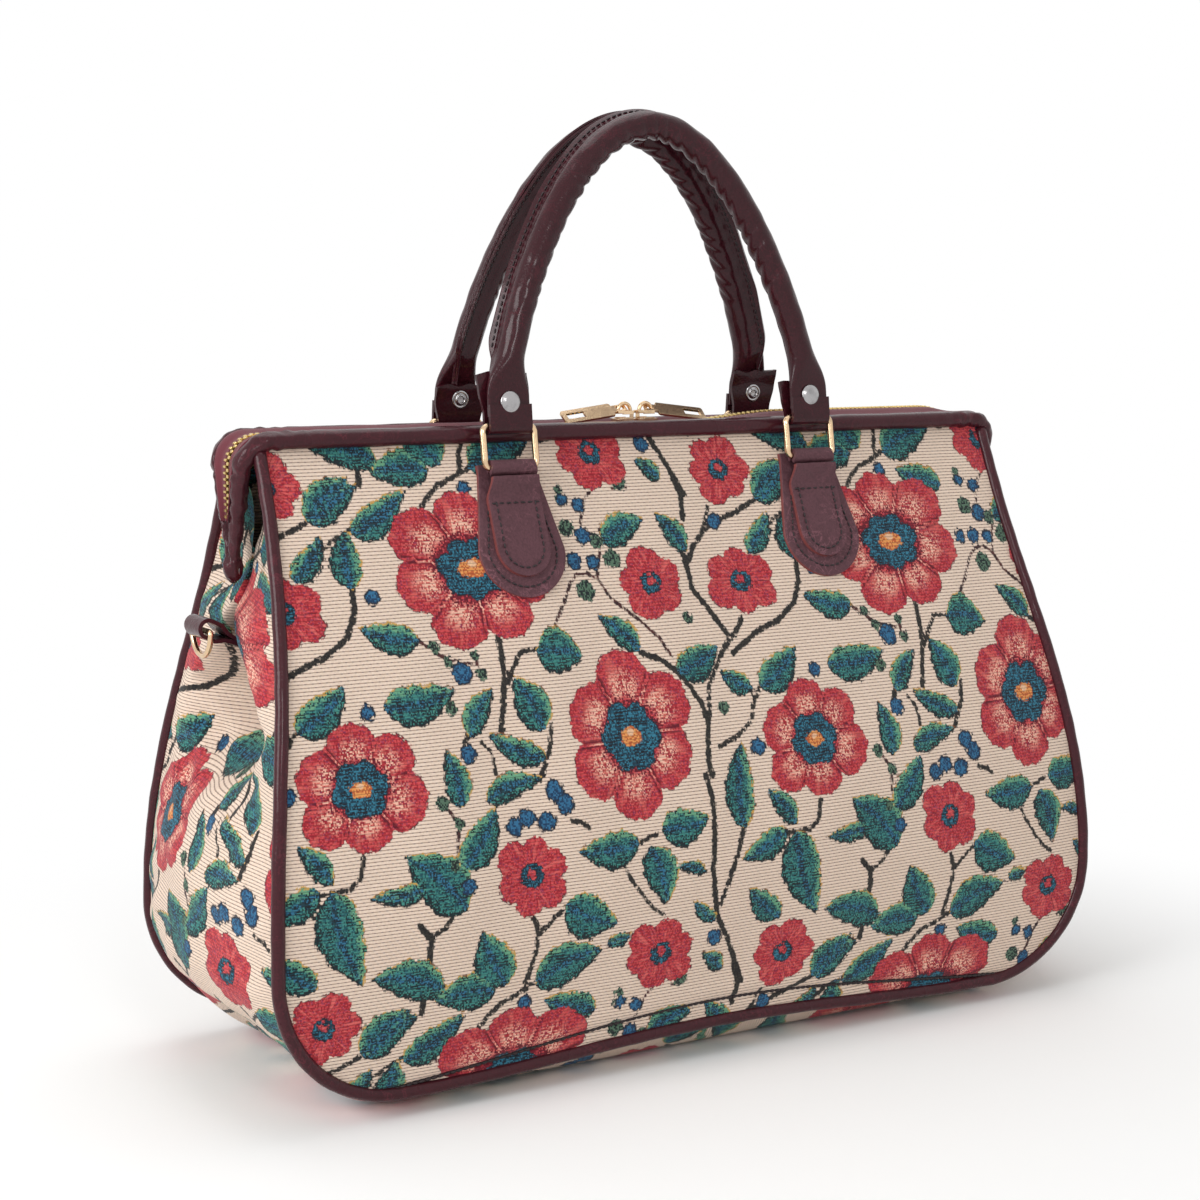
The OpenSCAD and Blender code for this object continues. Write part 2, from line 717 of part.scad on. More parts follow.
module handle_rivets(back) {
    seat = strap_t / 2 + pin_gap;
    rim_r = rivet_head_d / 2;
    dome = rivet_dome_h - rivet_rim_h;
    dome_r = (rim_r * rim_r + dome * dome) / (2 * dome);
    color(silver)
        front_or_back(back)
            on_ring_bar() for (side = [-1, 1])
                translate([side * handle_half, 0, rivet_h]) rotate([90, 0, 0]) {
                    cylinder(d = rivet_post_d, h = 2 * seat, center = true);
                    translate([0, 0, -seat - rivet_rim_h])
                        cylinder(d = rivet_head_d * rivet_back_share, h = rivet_rim_h);
                    translate([0, 0, seat]) cylinder(d = rivet_head_d, h = rivet_rim_h);
                    translate([0, 0, seat + rivet_rim_h])
                        intersection() {
                            translate([0, 0, dome - dome_r]) sphere(dome_r);
                            cylinder(r = rim_r, h = dome);
                        }
                }
}

module front_handle_rivets() { handle_rivets(false); }
module back_handle_rivets() { handle_rivets(true); }

// Patches lie on the upper slope of a panel. Their frame has its origin under the lower bar of
// the ring on the face of the panel, with Y up the slope and Z away from the cloth.
slope_tilt = atan(panel_slope);
patch_face = fit_gap + leather_t;
bar_off = patch_face + fit_gap + loop_d / 2;
bar_foot_z = ring_low_z - bar_off * sin(slope_tilt);
ring_low_y = depth_at(bar_foot_z) + cloth_t / 2 + bar_off * cos(slope_tilt);

module on_patch(back, right) {
    front_or_back(back)
        left_or_right(right)
            translate([-handle_half, -depth_at(bar_foot_z) - cloth_t / 2, bar_foot_z])
                rotate([90 - slope_tilt, 0, 0]) children();
}

// Tongue outline: straight sides and a round end that points down
module tongue(w, l) {
    translate([-w / 2, w / 2 - l]) square([w, l - w / 2]);
    translate([0, w / 2 - l]) circle(d = w);
}

// Patch: narrow under the ring, widening to a round end
patch_top = 3;
patch_neck_share = 0.68;
patch_neck_w = patch_w * patch_neck_share;

module patch(back, right) {
    color(dark_leather)
        on_patch(back, right)
            translate([0, 0, fit_gap]) linear_extrude(leather_t)
                hull() {
                    translate([-patch_neck_w / 2, 0]) square([patch_neck_w, patch_top]);
                    translate([0, patch_w / 2 + patch_top - patch_l]) circle(d = patch_w);
                }
}

module front_left_patch() { patch(false, false); }
module front_right_patch() { patch(false, true); }
module back_left_patch() { patch(true, false); }
module back_right_patch() { patch(true, true); }

// Strap doubled round the lower bar of a ring and sewn down on its patch
strap_fold_share = 1.5;

module patch_strap(back, right) {
    drop = loop_d / 2 + fit_gap;
    color(leather)
        on_patch(back, right)
            difference() {
                union() {
                    translate([0, -drop, patch_face + fit_gap])
                        linear_extrude(leather_t * strap_fold_share)
                            tongue(patch_strap_w, patch_strap_l - drop);
                    translate([-loop_w / 2, -2 * drop, patch_face + fit_gap])
                        cube([loop_w, 2 * drop, leather_t * strap_fold_share]);
                    translate([0, 0, bar_off]) rotate([0, 90, 0])
                        cylinder(d = loop_d, h = loop_w, center = true);
                }
                translate([0, 0, bar_off]) rotate([0, 90, 0])
                    cylinder(d = ring_bore_d, h = ring_w, center = true);
            }
}

module front_left_patch_strap() { patch_strap(false, false); }
module front_right_patch_strap() { patch_strap(false, true); }
module back_left_patch_strap() { patch_strap(true, false); }
module back_right_patch_strap() { patch_strap(true, true); }

// Handle ring: a rectangle of wire from the patch loop up to the handle loop
ring_corner_share = 1.1;
ring_side_share = 0.96;
ring_h = norm([ring_low_y - handle_y, ring_top_z - ring_low_z]);
ring_tilt = atan2(ring_low_y - handle_y, ring_top_z - ring_low_z);

module handle_ring(back, right) {
    color(gold)
        front_or_back(back)
            left_or_right(right)
                translate([-handle_half, -ring_low_y, ring_low_z])
                    rotate([90 - ring_tilt, 0, 0])
                        translate([0, ring_h / 2, 0])
                            for (s = [-1, 1]) {
                                translate([0, s * ring_h / 2, 0]) rotate([0, 90, 0])
                                    cylinder(d = ring_wire_d, h = ring_w, center = true);
                                translate([s * ring_w / 2, 0, 0]) rotate([90, 0, 0])
                                    cylinder(d = ring_wire_d * ring_side_share, h = ring_h, center = true);
                                for (q = [-1, 1])
                                    translate([s * ring_w / 2, q * ring_h / 2, 0])
                                        cylinder(d = ring_wire_d * ring_corner_share,
                                            h = ring_wire_d * ring_corner_share, center = true);
                            }
}

module front_left_ring() { handle_ring(false, false); }
module front_right_ring() { handle_ring(false, true); }
module back_left_ring() { handle_ring(true, false); }
module back_right_ring() { handle_ring(true, true); }

// Side tab: a doubled strap that leaves the valley fold and ends in an open loop
tab_loop_l = 14;
tab_loop_d = 9;
tab_inner_d = tab_loop_d - 2 * leather_t;
tab_fold_share = strip_shares[7][0];
tab_fold_rise = strip_out(tab_z, tab_fold_share) - strip_out(tab_z, 0);
tab_root_x = strip_out(tab_z, 0) + cloth_t / 2 + 7 * fit_gap
    + tab_fold_rise * tab_w / 2 / strip_y(tab_z, tab_fold_share) + leather_t * sin(tab_rise);
tab_eye_l = tab_l + tab_loop_l - tab_loop_d / 2;
d_ring_drop = tab_inner_d / 2 - d_ring_wire_d / 2 - fit_gap;
d_ring_x = tab_root_x + tab_eye_l * cos(tab_rise);
d_ring_z = tab_z + tab_eye_l * sin(tab_rise) - d_ring_drop;

module side_tab(right) {
    color(dark_leather)
        left_or_right(!right)
            translate([tab_root_x, tab_w / 2, tab_z])
                rotate([90, 0, 0])
                    linear_extrude(tab_w)
                        rotate(tab_rise)
                            difference() {
                                union() {
                                    translate([0, -leather_t]) square([tab_l + leather_t, 2 * leather_t]);
                                    translate([tab_l + tab_loop_d / 2, 0]) circle(d = tab_loop_d);
                                    translate([tab_eye_l, 0]) circle(d = tab_loop_d);
                                    translate([tab_l + tab_loop_d / 2, -tab_loop_d / 2])
                                        square([tab_loop_l - tab_loop_d, tab_loop_d]);
                                }
                                translate([tab_l + tab_loop_d / 2, 0]) circle(d = tab_inner_d);
                                translate([tab_eye_l, 0]) circle(d = tab_inner_d);
                                translate([tab_l + tab_loop_d / 2, -tab_inner_d / 2])
                                    square([tab_loop_l - tab_loop_d, tab_inner_d]);
                            }
}

module left_side_tab() { side_tab(false); }
module right_side_tab() { side_tab(true); }

module d_ring(right) {
    color(gold)
        left_or_right(!right)
            translate([d_ring_x, 0, d_ring_z]) {
                rotate([90, 0, 0]) cylinder(d = d_ring_wire_d, h = 2 * d_ring_r, center = true);
                for (side = [-1, 1]) translate([0, side * d_ring_r, 0]) sphere(d = d_ring_wire_d);
                rotate([-90, 0, 90]) rotate_extrude(angle = 180)
                    translate([d_ring_r, 0]) circle(d = d_ring_wire_d);
            }
}

module left_d_ring() { d_ring(false); }
module right_d_ring() { d_ring(true); }

front_panel();
back_panel();
gusset_strip();
base_board();
front_piping();
back_piping();
front_rail_cover();
back_rail_cover();
front_frame_wire();
back_frame_wire();
frame_hinge_pins();
front_zip_tape();
back_zip_tape();
front_zip_teeth();
back_zip_teeth();
left_slider();
right_slider();
left_puller();
right_puller();
front_handle();
back_handle();
front_handle_rivets();
back_handle_rivets();
front_left_ring();
front_right_ring();
back_left_ring();
back_right_ring();
front_left_patch();
front_right_patch();
back_left_patch();
back_right_patch();
front_left_patch_strap();
front_right_patch_strap();
back_left_patch_strap();
back_right_patch_strap();
left_side_tab();
right_side_tab();
left_d_ring();
right_d_ring();
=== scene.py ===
import bpy
import bmesh
import math
import numpy as np
from mathutils import Matrix, Vector


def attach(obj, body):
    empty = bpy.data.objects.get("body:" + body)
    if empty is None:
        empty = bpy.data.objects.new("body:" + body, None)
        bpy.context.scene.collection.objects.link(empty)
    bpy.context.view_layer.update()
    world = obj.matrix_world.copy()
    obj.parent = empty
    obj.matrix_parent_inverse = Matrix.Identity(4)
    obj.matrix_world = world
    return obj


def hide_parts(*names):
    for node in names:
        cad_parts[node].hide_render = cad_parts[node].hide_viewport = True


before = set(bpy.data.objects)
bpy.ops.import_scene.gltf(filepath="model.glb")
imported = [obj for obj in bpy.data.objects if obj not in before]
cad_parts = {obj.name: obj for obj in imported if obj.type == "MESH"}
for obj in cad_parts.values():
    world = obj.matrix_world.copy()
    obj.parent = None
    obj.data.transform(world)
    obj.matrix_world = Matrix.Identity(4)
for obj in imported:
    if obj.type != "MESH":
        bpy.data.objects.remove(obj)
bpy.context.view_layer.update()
scene = bpy.context.scene
scene.view_settings.view_transform = "Standard"
mm = 0.001
print("frame loaded:", len(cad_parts), "nodes")


# small mesh and node helpers

def srgb(r, g, b):
    def one(v):
        v = v / 255
        return v / 12.92 if v <= 0.04045 else ((v + 0.055) / 1.055) ** 2.4
    return (one(r), one(g), one(b), 1.0)


def smooth(a, b, x):
    t = np.clip((np.asarray(x, float) - a) / (b - a), 0, 1)
    return t * t * (3 - 2 * t)


# a few sine waves of mixed direction, for soft wrinkles
def ripple(a, b, seed, size, count=7):
    pick = np.random.default_rng(seed)
    out = 0
    for _ in range(count):
        turn, k = pick.uniform(0, 2 * math.pi), 2 * math.pi / (size * pick.uniform(0.6, 1.6))
        out = out + np.sin(k * (np.cos(turn) * a + np.sin(turn) * b) + pick.uniform(0, 6.3))
    return out / count ** 0.5


def gridFaces(rows, cols, closeRows=False, closeCols=False):
    i = np.arange(rows if closeRows else rows - 1)
    j = np.arange(cols if closeCols else cols - 1)
    i, j = np.meshgrid(i, j, indexing="ij")
    i2, j2 = (i + 1) % rows, (j + 1) % cols
    return np.stack([i * cols + j, i * cols + j2, i2 * cols + j2, i2 * cols + j], -1).reshape(-1, 4)


# faces of a tube of closed rows, with one over each end
def tubeFaces(rows, cols):
    ends = [list(range(cols)), list(range((rows - 1) * cols, rows * cols))[::-1]]
    return gridFaces(rows, cols, False, True).tolist() + ends


# the two faces of a sheet as one closed shell
def closedShell(outer, inner):
    loop = np.concatenate([outer, inner[:, ::-1]], 1)
    return loop, tubeFaces(*loop.shape[:2])


# a left half that ends in the middle, with its mirror image
def mirrored(left):
    return np.concatenate([left, left[-2::-1] * [-1, 1, 1]])


def fullTurn(count):
    return np.arange(count) * 2 * math.pi / count


def aroundAxis(radius, angle):
    return np.stack([radius * np.cos(angle), radius * np.sin(angle)], -1)


def roundSection(radius, sides):
    return aroundAxis(radius, fullTurn(sides))


# what a piece stands for and moves with
def dress(piece, node, body):
    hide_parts(node)
    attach(piece, body)
    return piece


# a mesh object at the origin, from points in millimetres
def makeObject(name, points, faces, material, fields=None, outward=None, closed=False, sharp=None):
    mesh = bpy.data.meshes.new(name)
    mesh.from_pydata((np.asarray(points, float).reshape(-1, 3) * mm).tolist(), [],
                     [list(map(int, f)) for f in faces])
    for key, values in (fields or {}).items():
        values = np.asarray(values, np.float32)
        if values.ndim == 2:
            mesh.attributes.new(key, "FLOAT_VECTOR", "POINT").data.foreach_set("vector", values.ravel())
        else:
            mesh.attributes.new(key, "FLOAT", "POINT").data.foreach_set("value", values)
    mesh.validate()
    shape = bmesh.new()
    shape.from_mesh(mesh)
    if closed:
        bmesh.ops.recalc_face_normals(shape, faces=shape.faces)
    if outward is not None:
        shape.normal_update()
        facing = sum(f.normal.dot(Vector(outward(f.calc_center_median()))) * f.calc_area()
                     for f in shape.faces)
        if facing < 0:
            bmesh.ops.reverse_faces(shape, faces=shape.faces)
    shape.to_mesh(mesh)
    shape.free()
    mesh.shade_smooth()
    if sharp is not None:
        mesh.set_sharp_from_angle(angle=math.radians(sharp))
    mesh.materials.append(material)
    made = bpy.data.objects.new(name, mesh)
    scene.collection.objects.link(made)
    return made


# several lumps of points and faces as one piece
def joinParts(parts):
    points, faces, start = [], [], 0
    for p, f in parts:
        p = np.asarray(p, float).reshape(-1, 3)
        points.append(p)
        faces += [[int(k) + start for k in face] for face in f]
        start += len(p)
    return np.concatenate(points), faces


def unitRows(v):
    return v / np.linalg.norm(v, axis=-1, keepdims=True)


# a section (n, 2) or one per station (m, n, 2) swept along a path; side is the section's first axis
def sweep(path, section, side, closed=False):
    path = np.asarray(path, float)
    ahead = np.roll(path, -1, 0) - np.roll(path, 1, 0)
    if not closed:
        ahead[0], ahead[-1] = path[1] - path[0], path[-1] - path[-2]
    ahead = unitRows(ahead)
    side = np.broadcast_to(np.asarray(side, float), path.shape)
    side = unitRows(side - (side * ahead).sum(-1, keepdims=True) * ahead)
    other = np.cross(ahead, side)
    section = np.broadcast_to(np.asarray(section, float), (len(path),) + np.asarray(section).shape[-2:])
    grid = path[:, None] + section[..., :1] * side[:, None] + section[..., 1:] * other[:, None]
    rows, cols = grid.shape[:2]
    faces = gridFaces(rows, cols, True, True).tolist() if closed else tubeFaces(rows, cols)
    return grid.reshape(-1, 3), faces


def evenPath(points, step, closed=False):
    points = np.asarray(points, float)
    if closed:
        points = np.concatenate([points, points[:1]])
    run = np.concatenate([[0], np.cumsum(np.linalg.norm(np.diff(points, axis=0), axis=1))])
    keep = np.concatenate([[True], np.diff(run) > 1e-9])
    count = max(2, int(round(run[-1] / step)) + 1)
    at = np.linspace(0, run[-1], count)[:-1] if closed else np.linspace(0, run[-1], count)
    return np.stack([np.interp(at, run[keep], points[keep, k]) for k in range(3)], -1)


# the node tree of a material or world
class Nodes:
    def __init__(self, owner):
        owner.use_nodes = True
        self.owner, self.tree = owner, owner.node_tree
        self.shader = next(n for n in self.tree.nodes if n.type in ("BSDF_PRINCIPLED", "BACKGROUND"))

    def put(self, socket, value):
        if hasattr(value, "is_output"):
            self.tree.links.new(value, socket)
        else:
            socket.default_value = value

    # a node with its settings, and its inputs set or linked
    def add(self, kind, inputs=(), **settings):
        made = self.tree.nodes.new(kind)
        for key, value in settings.items():
            setattr(made, key, value)
        for key, value in dict(inputs).items():
            self.put(made.inputs[key], value)
        return made

    def attribute(self, name, output="Fac"):
        return self.add("ShaderNodeAttribute", attribute_name=name).outputs[output]

    def place(self):
        return self.add("ShaderNodeTexCoord").outputs["Object"]

    def split(self, vector):
        return self.add("ShaderNodeSeparateXYZ", {0: vector}).outputs[:2]

    def join(self, a, b, c=0.0):
        return self.add("ShaderNodeCombineXYZ", {0: a, 1: b, 2: c}).outputs[0]

    def math(self, operation, a, b=0.0):
        return self.add("ShaderNodeMath", {0: a, 1: b}, operation=operation).outputs[0]

    def plus(self, a, b):
        return self.math("ADD", a, b)

    def minus(self, a, b):
        return self.math("SUBTRACT", a, b)

    def times(self, a, b):
        return self.math("MULTIPLY", a, b)

    def over(self, a, b):
        return self.math("DIVIDE", a, b)

    def larger(self, a, b):
        return self.math("MAXIMUM", a, b)

    def absolute(self, a):
        return self.math("ABSOLUTE", a)

    def ramp(self, value, low, high, first, last):
        span = {"Value": value, "From Min": low, "From Max": high, "To Min": first, "To Max": last}
        return self.add("ShaderNodeMapRange", span, interpolation_type="SMOOTHSTEP").outputs["Result"]

    # 1 below low, 0 above high
    def below(self, value, low, high):
        return self.ramp(value, low, high, 1.0, 0.0)

    # 0 below low, 1 above high
    def above(self, value, low, high):
        return self.ramp(value, low, high, 0.0, 1.0)

    def mix(self, factor, a, b):
        tones = {0: factor, 6: a, 7: b}
        return self.add("ShaderNodeMix", tones, data_type="RGBA", clamp_factor=True).outputs[2]

    # two tones of thread, parted by a woven field
    def threads(self, field, low, high, first, second):
        return self.mix(self.above(field, low, high), srgb(*first), srgb(*second))

    # a tone laid over another where a mask is, by a share
    def tint(self, under, mask, share, tone):
        return self.mix(self.times(mask, share), under, srgb(*tone))

    # a value between 0 and 1 as a swing about zero
    def swing(self, value, amount):
        return self.times(self.minus(value, 0.5), amount)

    def noise(self, vector, scale, detail=2.0, roughness=0.5, distortion=0.0):
        field = {"Vector": vector, "Scale": scale, "Detail": detail, "Roughness": roughness,
                 "Distortion": distortion}
        return self.add("ShaderNodeTexNoise", field).outputs["Fac"]

    def cells(self, vector, scale):
        return self.add("ShaderNodeTexVoronoi", {"Vector": vector, "Scale": scale}).outputs["Distance"]

    def scaled(self, vector, factors):
        return self.add("ShaderNodeVectorMath", {0: vector, 1: factors}, operation="MULTIPLY").outputs[0]

    def bump(self, height, distance, strength):
        relief = {"Height": height, "Distance": distance, "Strength": strength}
        return self.add("ShaderNodeBump", relief).outputs["Normal"]

    # two shaders mixed by a factor, sent to the output
    def blend(self, factor, a, b):
        both = self.add("ShaderNodeMixShader", {0: factor, 1: a.outputs[0], 2: b.outputs[0]})
        end = next(n for n in self.tree.nodes if n.type.startswith("OUTPUT"))
        self.put(end.inputs[0], both.outputs[0])

    def finish(self, **sockets):
        for key, value in sockets.items():
            self.put(self.shader.inputs[key.replace("_", " ")], value)
        return self.owner


def newFinish(name):
    return Nodes(bpy.data.materials.new(name))


# finishes

ribPitch = 1.42


def tapestryCloth():
    n = newFinish("ribbed tapestry")
    cloth = n.attribute("cloth", "Vector")
    s, t = n.split(cloth)

    # woven cells of about a rib give stepped edges and a mottled thread
    def cellValue(width, height, shift):
        a = n.math("FLOOR", n.over(n.plus(s, shift), width))
        b = n.math("FLOOR", n.over(t, height))
        cell = {"Vector": n.join(a, b)}
        return n.add("ShaderNodeTexWhiteNoise", cell, noise_dimensions="2D").outputs["Value"]

    fine = cellValue(0.62, ribPitch / 2, 0.0)
    speck = cellValue(0.62, ribPitch / 2, 5.3)
    rough = cellValue(1.15, ribPitch, 0.4)
    coarse = cellValue(2.1, ribPitch, 0.6)
    jitter = n.swing(rough, 1.1)
    jitter = n.plus(jitter, n.swing(coarse, 0.8))
    jitter = n.plus(jitter, n.swing(fine, 0.4))
    thread = n.noise(n.scaled(cloth, (0.55, 1.6, 1.0)), 1.0, 3.0, 0.6)

    # a motif's distance with a stepped edge
    def stepped(name, amount):
        return n.plus(n.attribute(name), n.times(jitter, amount))

    def inside(name, edge=0.0, soft=0.35, loose=1.0):
        return n.below(stepped(name, loose), edge - soft, edge + soft)

    # ground: cream ribs, a thin tan line between them that is painted shade in the grooves, and small blue
    # ticks
    rib = n.math("FRACT", n.over(t, ribPitch))
    ribWave = n.absolute(n.minus(rib, 0.5))
    # the groove between two ribs: low in the relief, and painted shade in the colour
    line = n.above(ribWave, 0.29, 0.46)
    tickRow = n.math("FLOOR", n.plus(n.over(t, ribPitch), 0.5))
    tick = n.math("FRACT", n.plus(n.over(s, 3.1), n.times(tickRow, 0.37)))
    ticks = n.times(n.below(n.absolute(n.minus(tick, 0.5)), 0.08, 0.2), line)
    cream = n.mix(n.times(fine, 0.5), srgb(238, 218, 202), srgb(218, 194, 172))
    cream = n.tint(cream, thread, 0.3, (200, 172, 146))
    # painted shade: the tan tone laid in the grooves between the ribs
    ground = n.tint(cream, line, 0.72, (140, 110, 92))
    ground = n.tint(ground, ticks, 0.5, (58, 58, 84))

    # stems and twigs
    dark = n.mix(fine, srgb(26, 26, 28), srgb(56, 52, 46))
    colour = n.mix(inside("stem", -0.05, 0.3, 0.6), ground, dark)
    colour = n.mix(inside("twig", 0.0, 0.3, 0.5), colour, n.mix(coarse, srgb(44, 28, 31), srgb(88, 48, 46)))

    # leaves: ochre above, a paler green border, blue at the rib, black hatching at the lower edge
    upper = stepped("shade", 0.14)
    ochre = n.threads(coarse, 0.4, 0.5, (120, 74, 44), (198, 152, 74))
    rimTone = n.mix(n.above(upper, -0.1, 0.1), srgb(26, 26, 28), ochre)
    dash = n.times(inside("leaf", 0.7), n.above(coarse, 0.25, 0.35))
    colour = n.mix(dash, colour, rimTone)
    leafTone = n.threads(fine, 0.2, 0.8, (30, 82, 90), (62, 132, 124))
    border = n.above(stepped("leaf", 0.9), -3.0, -1.4)
    lit = n.times(n.above(n.plus(upper, speck), 0.1, 0.7), n.above(speck, 0.2, 0.4))
    leafTone = n.tint(leafTone, n.times(border, lit), 0.85, (110, 166, 128))
    vein = n.below(stepped("vein", 1.6), 0.6, 2.6)
    veinTone = n.threads(fine, 0.4, 0.6, (24, 40, 54), (42, 100, 148))
    leafTone = n.mix(n.times(vein, 0.75), leafTone, veinTone)
    hatch = n.times(n.below(n.plus(upper, fine), -0.3, -0.05), border)
    hatch = n.larger(hatch, n.below(speck, 0.1, 0.16))
    hatch = n.larger(hatch, n.times(n.below(coarse, 0.16, 0.22), n.above(ribWave, 0.12, 0.3)))
    leafTone = n.tint(leafTone, hatch, 0.9, (20, 25, 30))
    colour = n.mix(inside("leaf"), colour, leafTone)

    # buds and berries
    bud = n.threads(fine, 0.4, 0.6, (30, 40, 40), (84, 112, 92))
    colour = n.mix(inside("bud"), colour, bud)
    blue = n.threads(fine, 0.3, 0.7, (26, 56, 88), (50, 108, 146))
    colour = n.mix(inside("berry", 0.8), colour, srgb(30, 34, 44))
    colour = n.mix(inside("berry"), colour, blue)

    # petals: red rims, pale streaks in the middle, deep red towards the eye
    petal, lobe = n.attribute("petal"), n.attribute("lobe")
    offMiddle = n.absolute(lobe)
    big = n.attribute("big")
    polar = n.join(n.times(lobe, 4.2), n.times(petal, 2.2),
                   n.times(n.plus(s, t), 0.05))
    streak = n.noise(polar, 1.0, 3.0, 0.6)
    red = n.threads(fine, 0.2, 0.85, (158, 36, 48), (202, 70, 74))
    red = n.tint(red, n.above(speck, 0.8, 0.9), 0.42, (96, 52, 96))
    red = n.tint(red, n.above(streak, 0.5, 0.66), 0.45, (222, 112, 102))
    pale = n.threads(fine, 0.3, 0.7, (214, 112, 100), (236, 186, 164))
    ring = n.times(n.above(petal, 0.42, 0.54), n.below(petal, 0.6, 0.86))
    middle = n.below(offMiddle, 0.4, 0.9)
    glow = n.times(n.times(ring, middle),
                  n.above(n.plus(streak, n.times(fine, 0.4)), 0.5, 0.82))
    bigPetal = n.mix(glow, red, pale)
    rootEdge = n.plus(petal, n.swing(fine, 0.16))
    rootEdge = n.plus(rootEdge, n.times(offMiddle, -0.16))
    root = n.mix(fine, srgb(92, 18, 34), srgb(132, 28, 44))
    bigPetal = n.mix(n.below(rootEdge, 0.36, 0.44), bigPetal, root)
    seam = n.times(n.above(n.plus(offMiddle, n.times(jitter, 0.04)), 0.82, 0.93),
                  n.below(petal, 0.9, 1.02))
    bigPetal = n.tint(bigPetal, seam, 0.9, (88, 16, 32))
    smallPetal = n.tint(red, n.above(streak, 0.52, 0.7), 0.55, (222, 104, 102))
    smallPetal = n.mix(n.times(n.times(seam, n.above(petal, 0.3, 0.5)), 0.6), smallPetal,
                       srgb(104, 22, 38))
    flower = n.mix(big, smallPetal, bigPetal)
    colour = n.mix(n.times(inside("flower", 0.55), n.above(coarse, 0.5, 0.6)), colour, srgb(66, 22, 32))
    colour = n.mix(inside("flower"), colour, flower)
    colour = n.mix(inside("core", 0.5), colour, srgb(24, 30, 42))
    centre = n.threads(fine, 0.3, 0.75, (22, 58, 76), (50, 118, 142))
    dashes = n.times(n.below(coarse, 0.24, 0.3), n.above(ribWave, 0.1, 0.3))
    dashes = n.larger(dashes, n.below(speck, 0.12, 0.2))
    centre = n.tint(centre, dashes, 0.9, (18, 22, 30))
    colour = n.mix(inside("core"), colour, centre)
    eye = n.threads(fine, 0.3, 0.6, (184, 92, 52), (222, 150, 84))
    colour = n.mix(inside("eye"), colour, eye)
    colour = n.tint(colour, inside("spark", 0.0, 0.4, 0.6), 0.6, (236, 208, 176))

    # raised threads: ribs on the ground, small knots on the motifs, with painted shade darkening the motifs in
    # the grooves between ribs
    motif = n.larger(n.larger(inside("flower"), inside("leaf")), inside("stem"))
    # painted shade: motifs darker in the grooves between the ribs
    colour = n.tint(colour, n.times(motif, line), 0.38, (34, 22, 26))
    knot = n.plus(n.swing(fine, 0.5), n.times(thread, 0.6))
    relief = n.plus(n.times(n.minus(1.0, line), n.minus(1.0, n.times(motif, 0.6))),
                    n.plus(knot, n.times(motif, 0.5)))
    normal = n.bump(relief, 0.0004, 0.6)
    return n.finish(Base_Color=colour, Roughness=0.86, Normal=normal, Specular_IOR_Level=0.25,
                    Sheen_Weight=0.12, Sheen_Roughness=0.5)


def shaded(tone, share):
    return srgb(*[v * share for v in tone])


def burgundyLeather(name, tone, shine, coat, grain):
    n = newFinish(name)
    place = n.place()
    broad = n.noise(place, 38.0, 3.0, 0.6)
    creaseField = n.noise(place, 120.0, 4.0, 0.62, 1.4)
    crease = n.below(n.absolute(n.minus(creaseField, 0.5)), 0.0, 0.035)
    pores = n.cells(place, 900.0)
    base = n.mix(broad, srgb(*tone), shaded(tone, 0.78))
    base = n.mix(n.times(crease, n.times(n.above(broad, 0.42, 0.62), 0.6)), base,
                 shaded(tone, 1.4))
    base = n.mix(n.times(n.above(pores, 0.45, 0.8), 0.25), base, shaded(tone, 0.6))
    rough = n.plus(n.times(broad, 0.22), shine - 0.1)
    # cut edges show the paler inside of the hide
    base = n.tint(base, n.attribute("rim"), 0.8, (128, 66, 62))
    normal = n.bump(n.plus(n.times(pores, 0.5), n.times(creaseField, 0.8)),
                    0.0005 * grain, 0.5)
    return n.finish(Base_Color=base, Roughness=rough, Normal=normal, Coat_Weight=coat, Coat_Roughness=0.1,
                    Specular_IOR_Level=0.12)


def platedMetal(name, tone, shine):
    n = newFinish(name)
    place = n.place()
    wear = n.noise(place, 160.0, 3.0, 0.6)
    lines = n.noise(n.scaled(place, (1.0, 1.0, 14.0)), 300.0, 2.0, 0.5)
    base = n.mix(n.above(wear, 0.45, 0.75), srgb(*tone), shaded(tone, 0.86))
    rough = n.plus(n.times(wear, 0.14), shine)
    return n.finish(Base_Color=base, Metallic=1.0, Roughness=rough, Normal=n.bump(lines, 0.00003, 0.3))


def zipTapeCloth():
    n = newFinish("woven zip tape")
    cloth = n.attribute("cloth", "Vector")
    s, t = n.split(cloth)
    slant = n.plus(s, n.math("PINGPONG", t, 2.0))
    twill = n.absolute(n.minus(n.math("FRACT", n.over(slant, 0.9)), 0.5))
    fuzz = n.noise(n.scaled(cloth, (1.0, 3.0, 1.0)), 1.3, 3.0, 0.6)
    base = n.threads(twill, 0.1, 0.4, (84, 20, 34), (122, 36, 52))
    base = n.tint(base, fuzz, 0.5, (66, 16, 28))
    return n.finish(Base_Color=base, Roughness=0.8, Normal=n.bump(twill, 0.0002, 0.5), Sheen_Weight=0.15)


def sewingThread():
    n = newFinish("dark sewing thread")
    place = n.place()
    ply = n.noise(place, 2600.0, 2.0, 0.6)
    base = n.mix(ply, srgb(14, 9, 11), srgb(44, 26, 30))
    return n.finish(Base_Color=base, Roughness=0.6, Normal=n.bump(ply, 0.0001, 0.5))


def stiffBoard():
    n = newFinish("stiffening board")
    place = n.place()
    fibre = n.noise(n.scaled(place, (1.0, 3.0, 1.0)), 220.0, 4.0, 0.65)
    base = n.mix(fibre, srgb(60, 54, 50), srgb(96, 88, 80))
    return n.finish(Base_Color=base, Roughness=0.85, Normal=n.bump(fibre, 0.0003, 0.4))


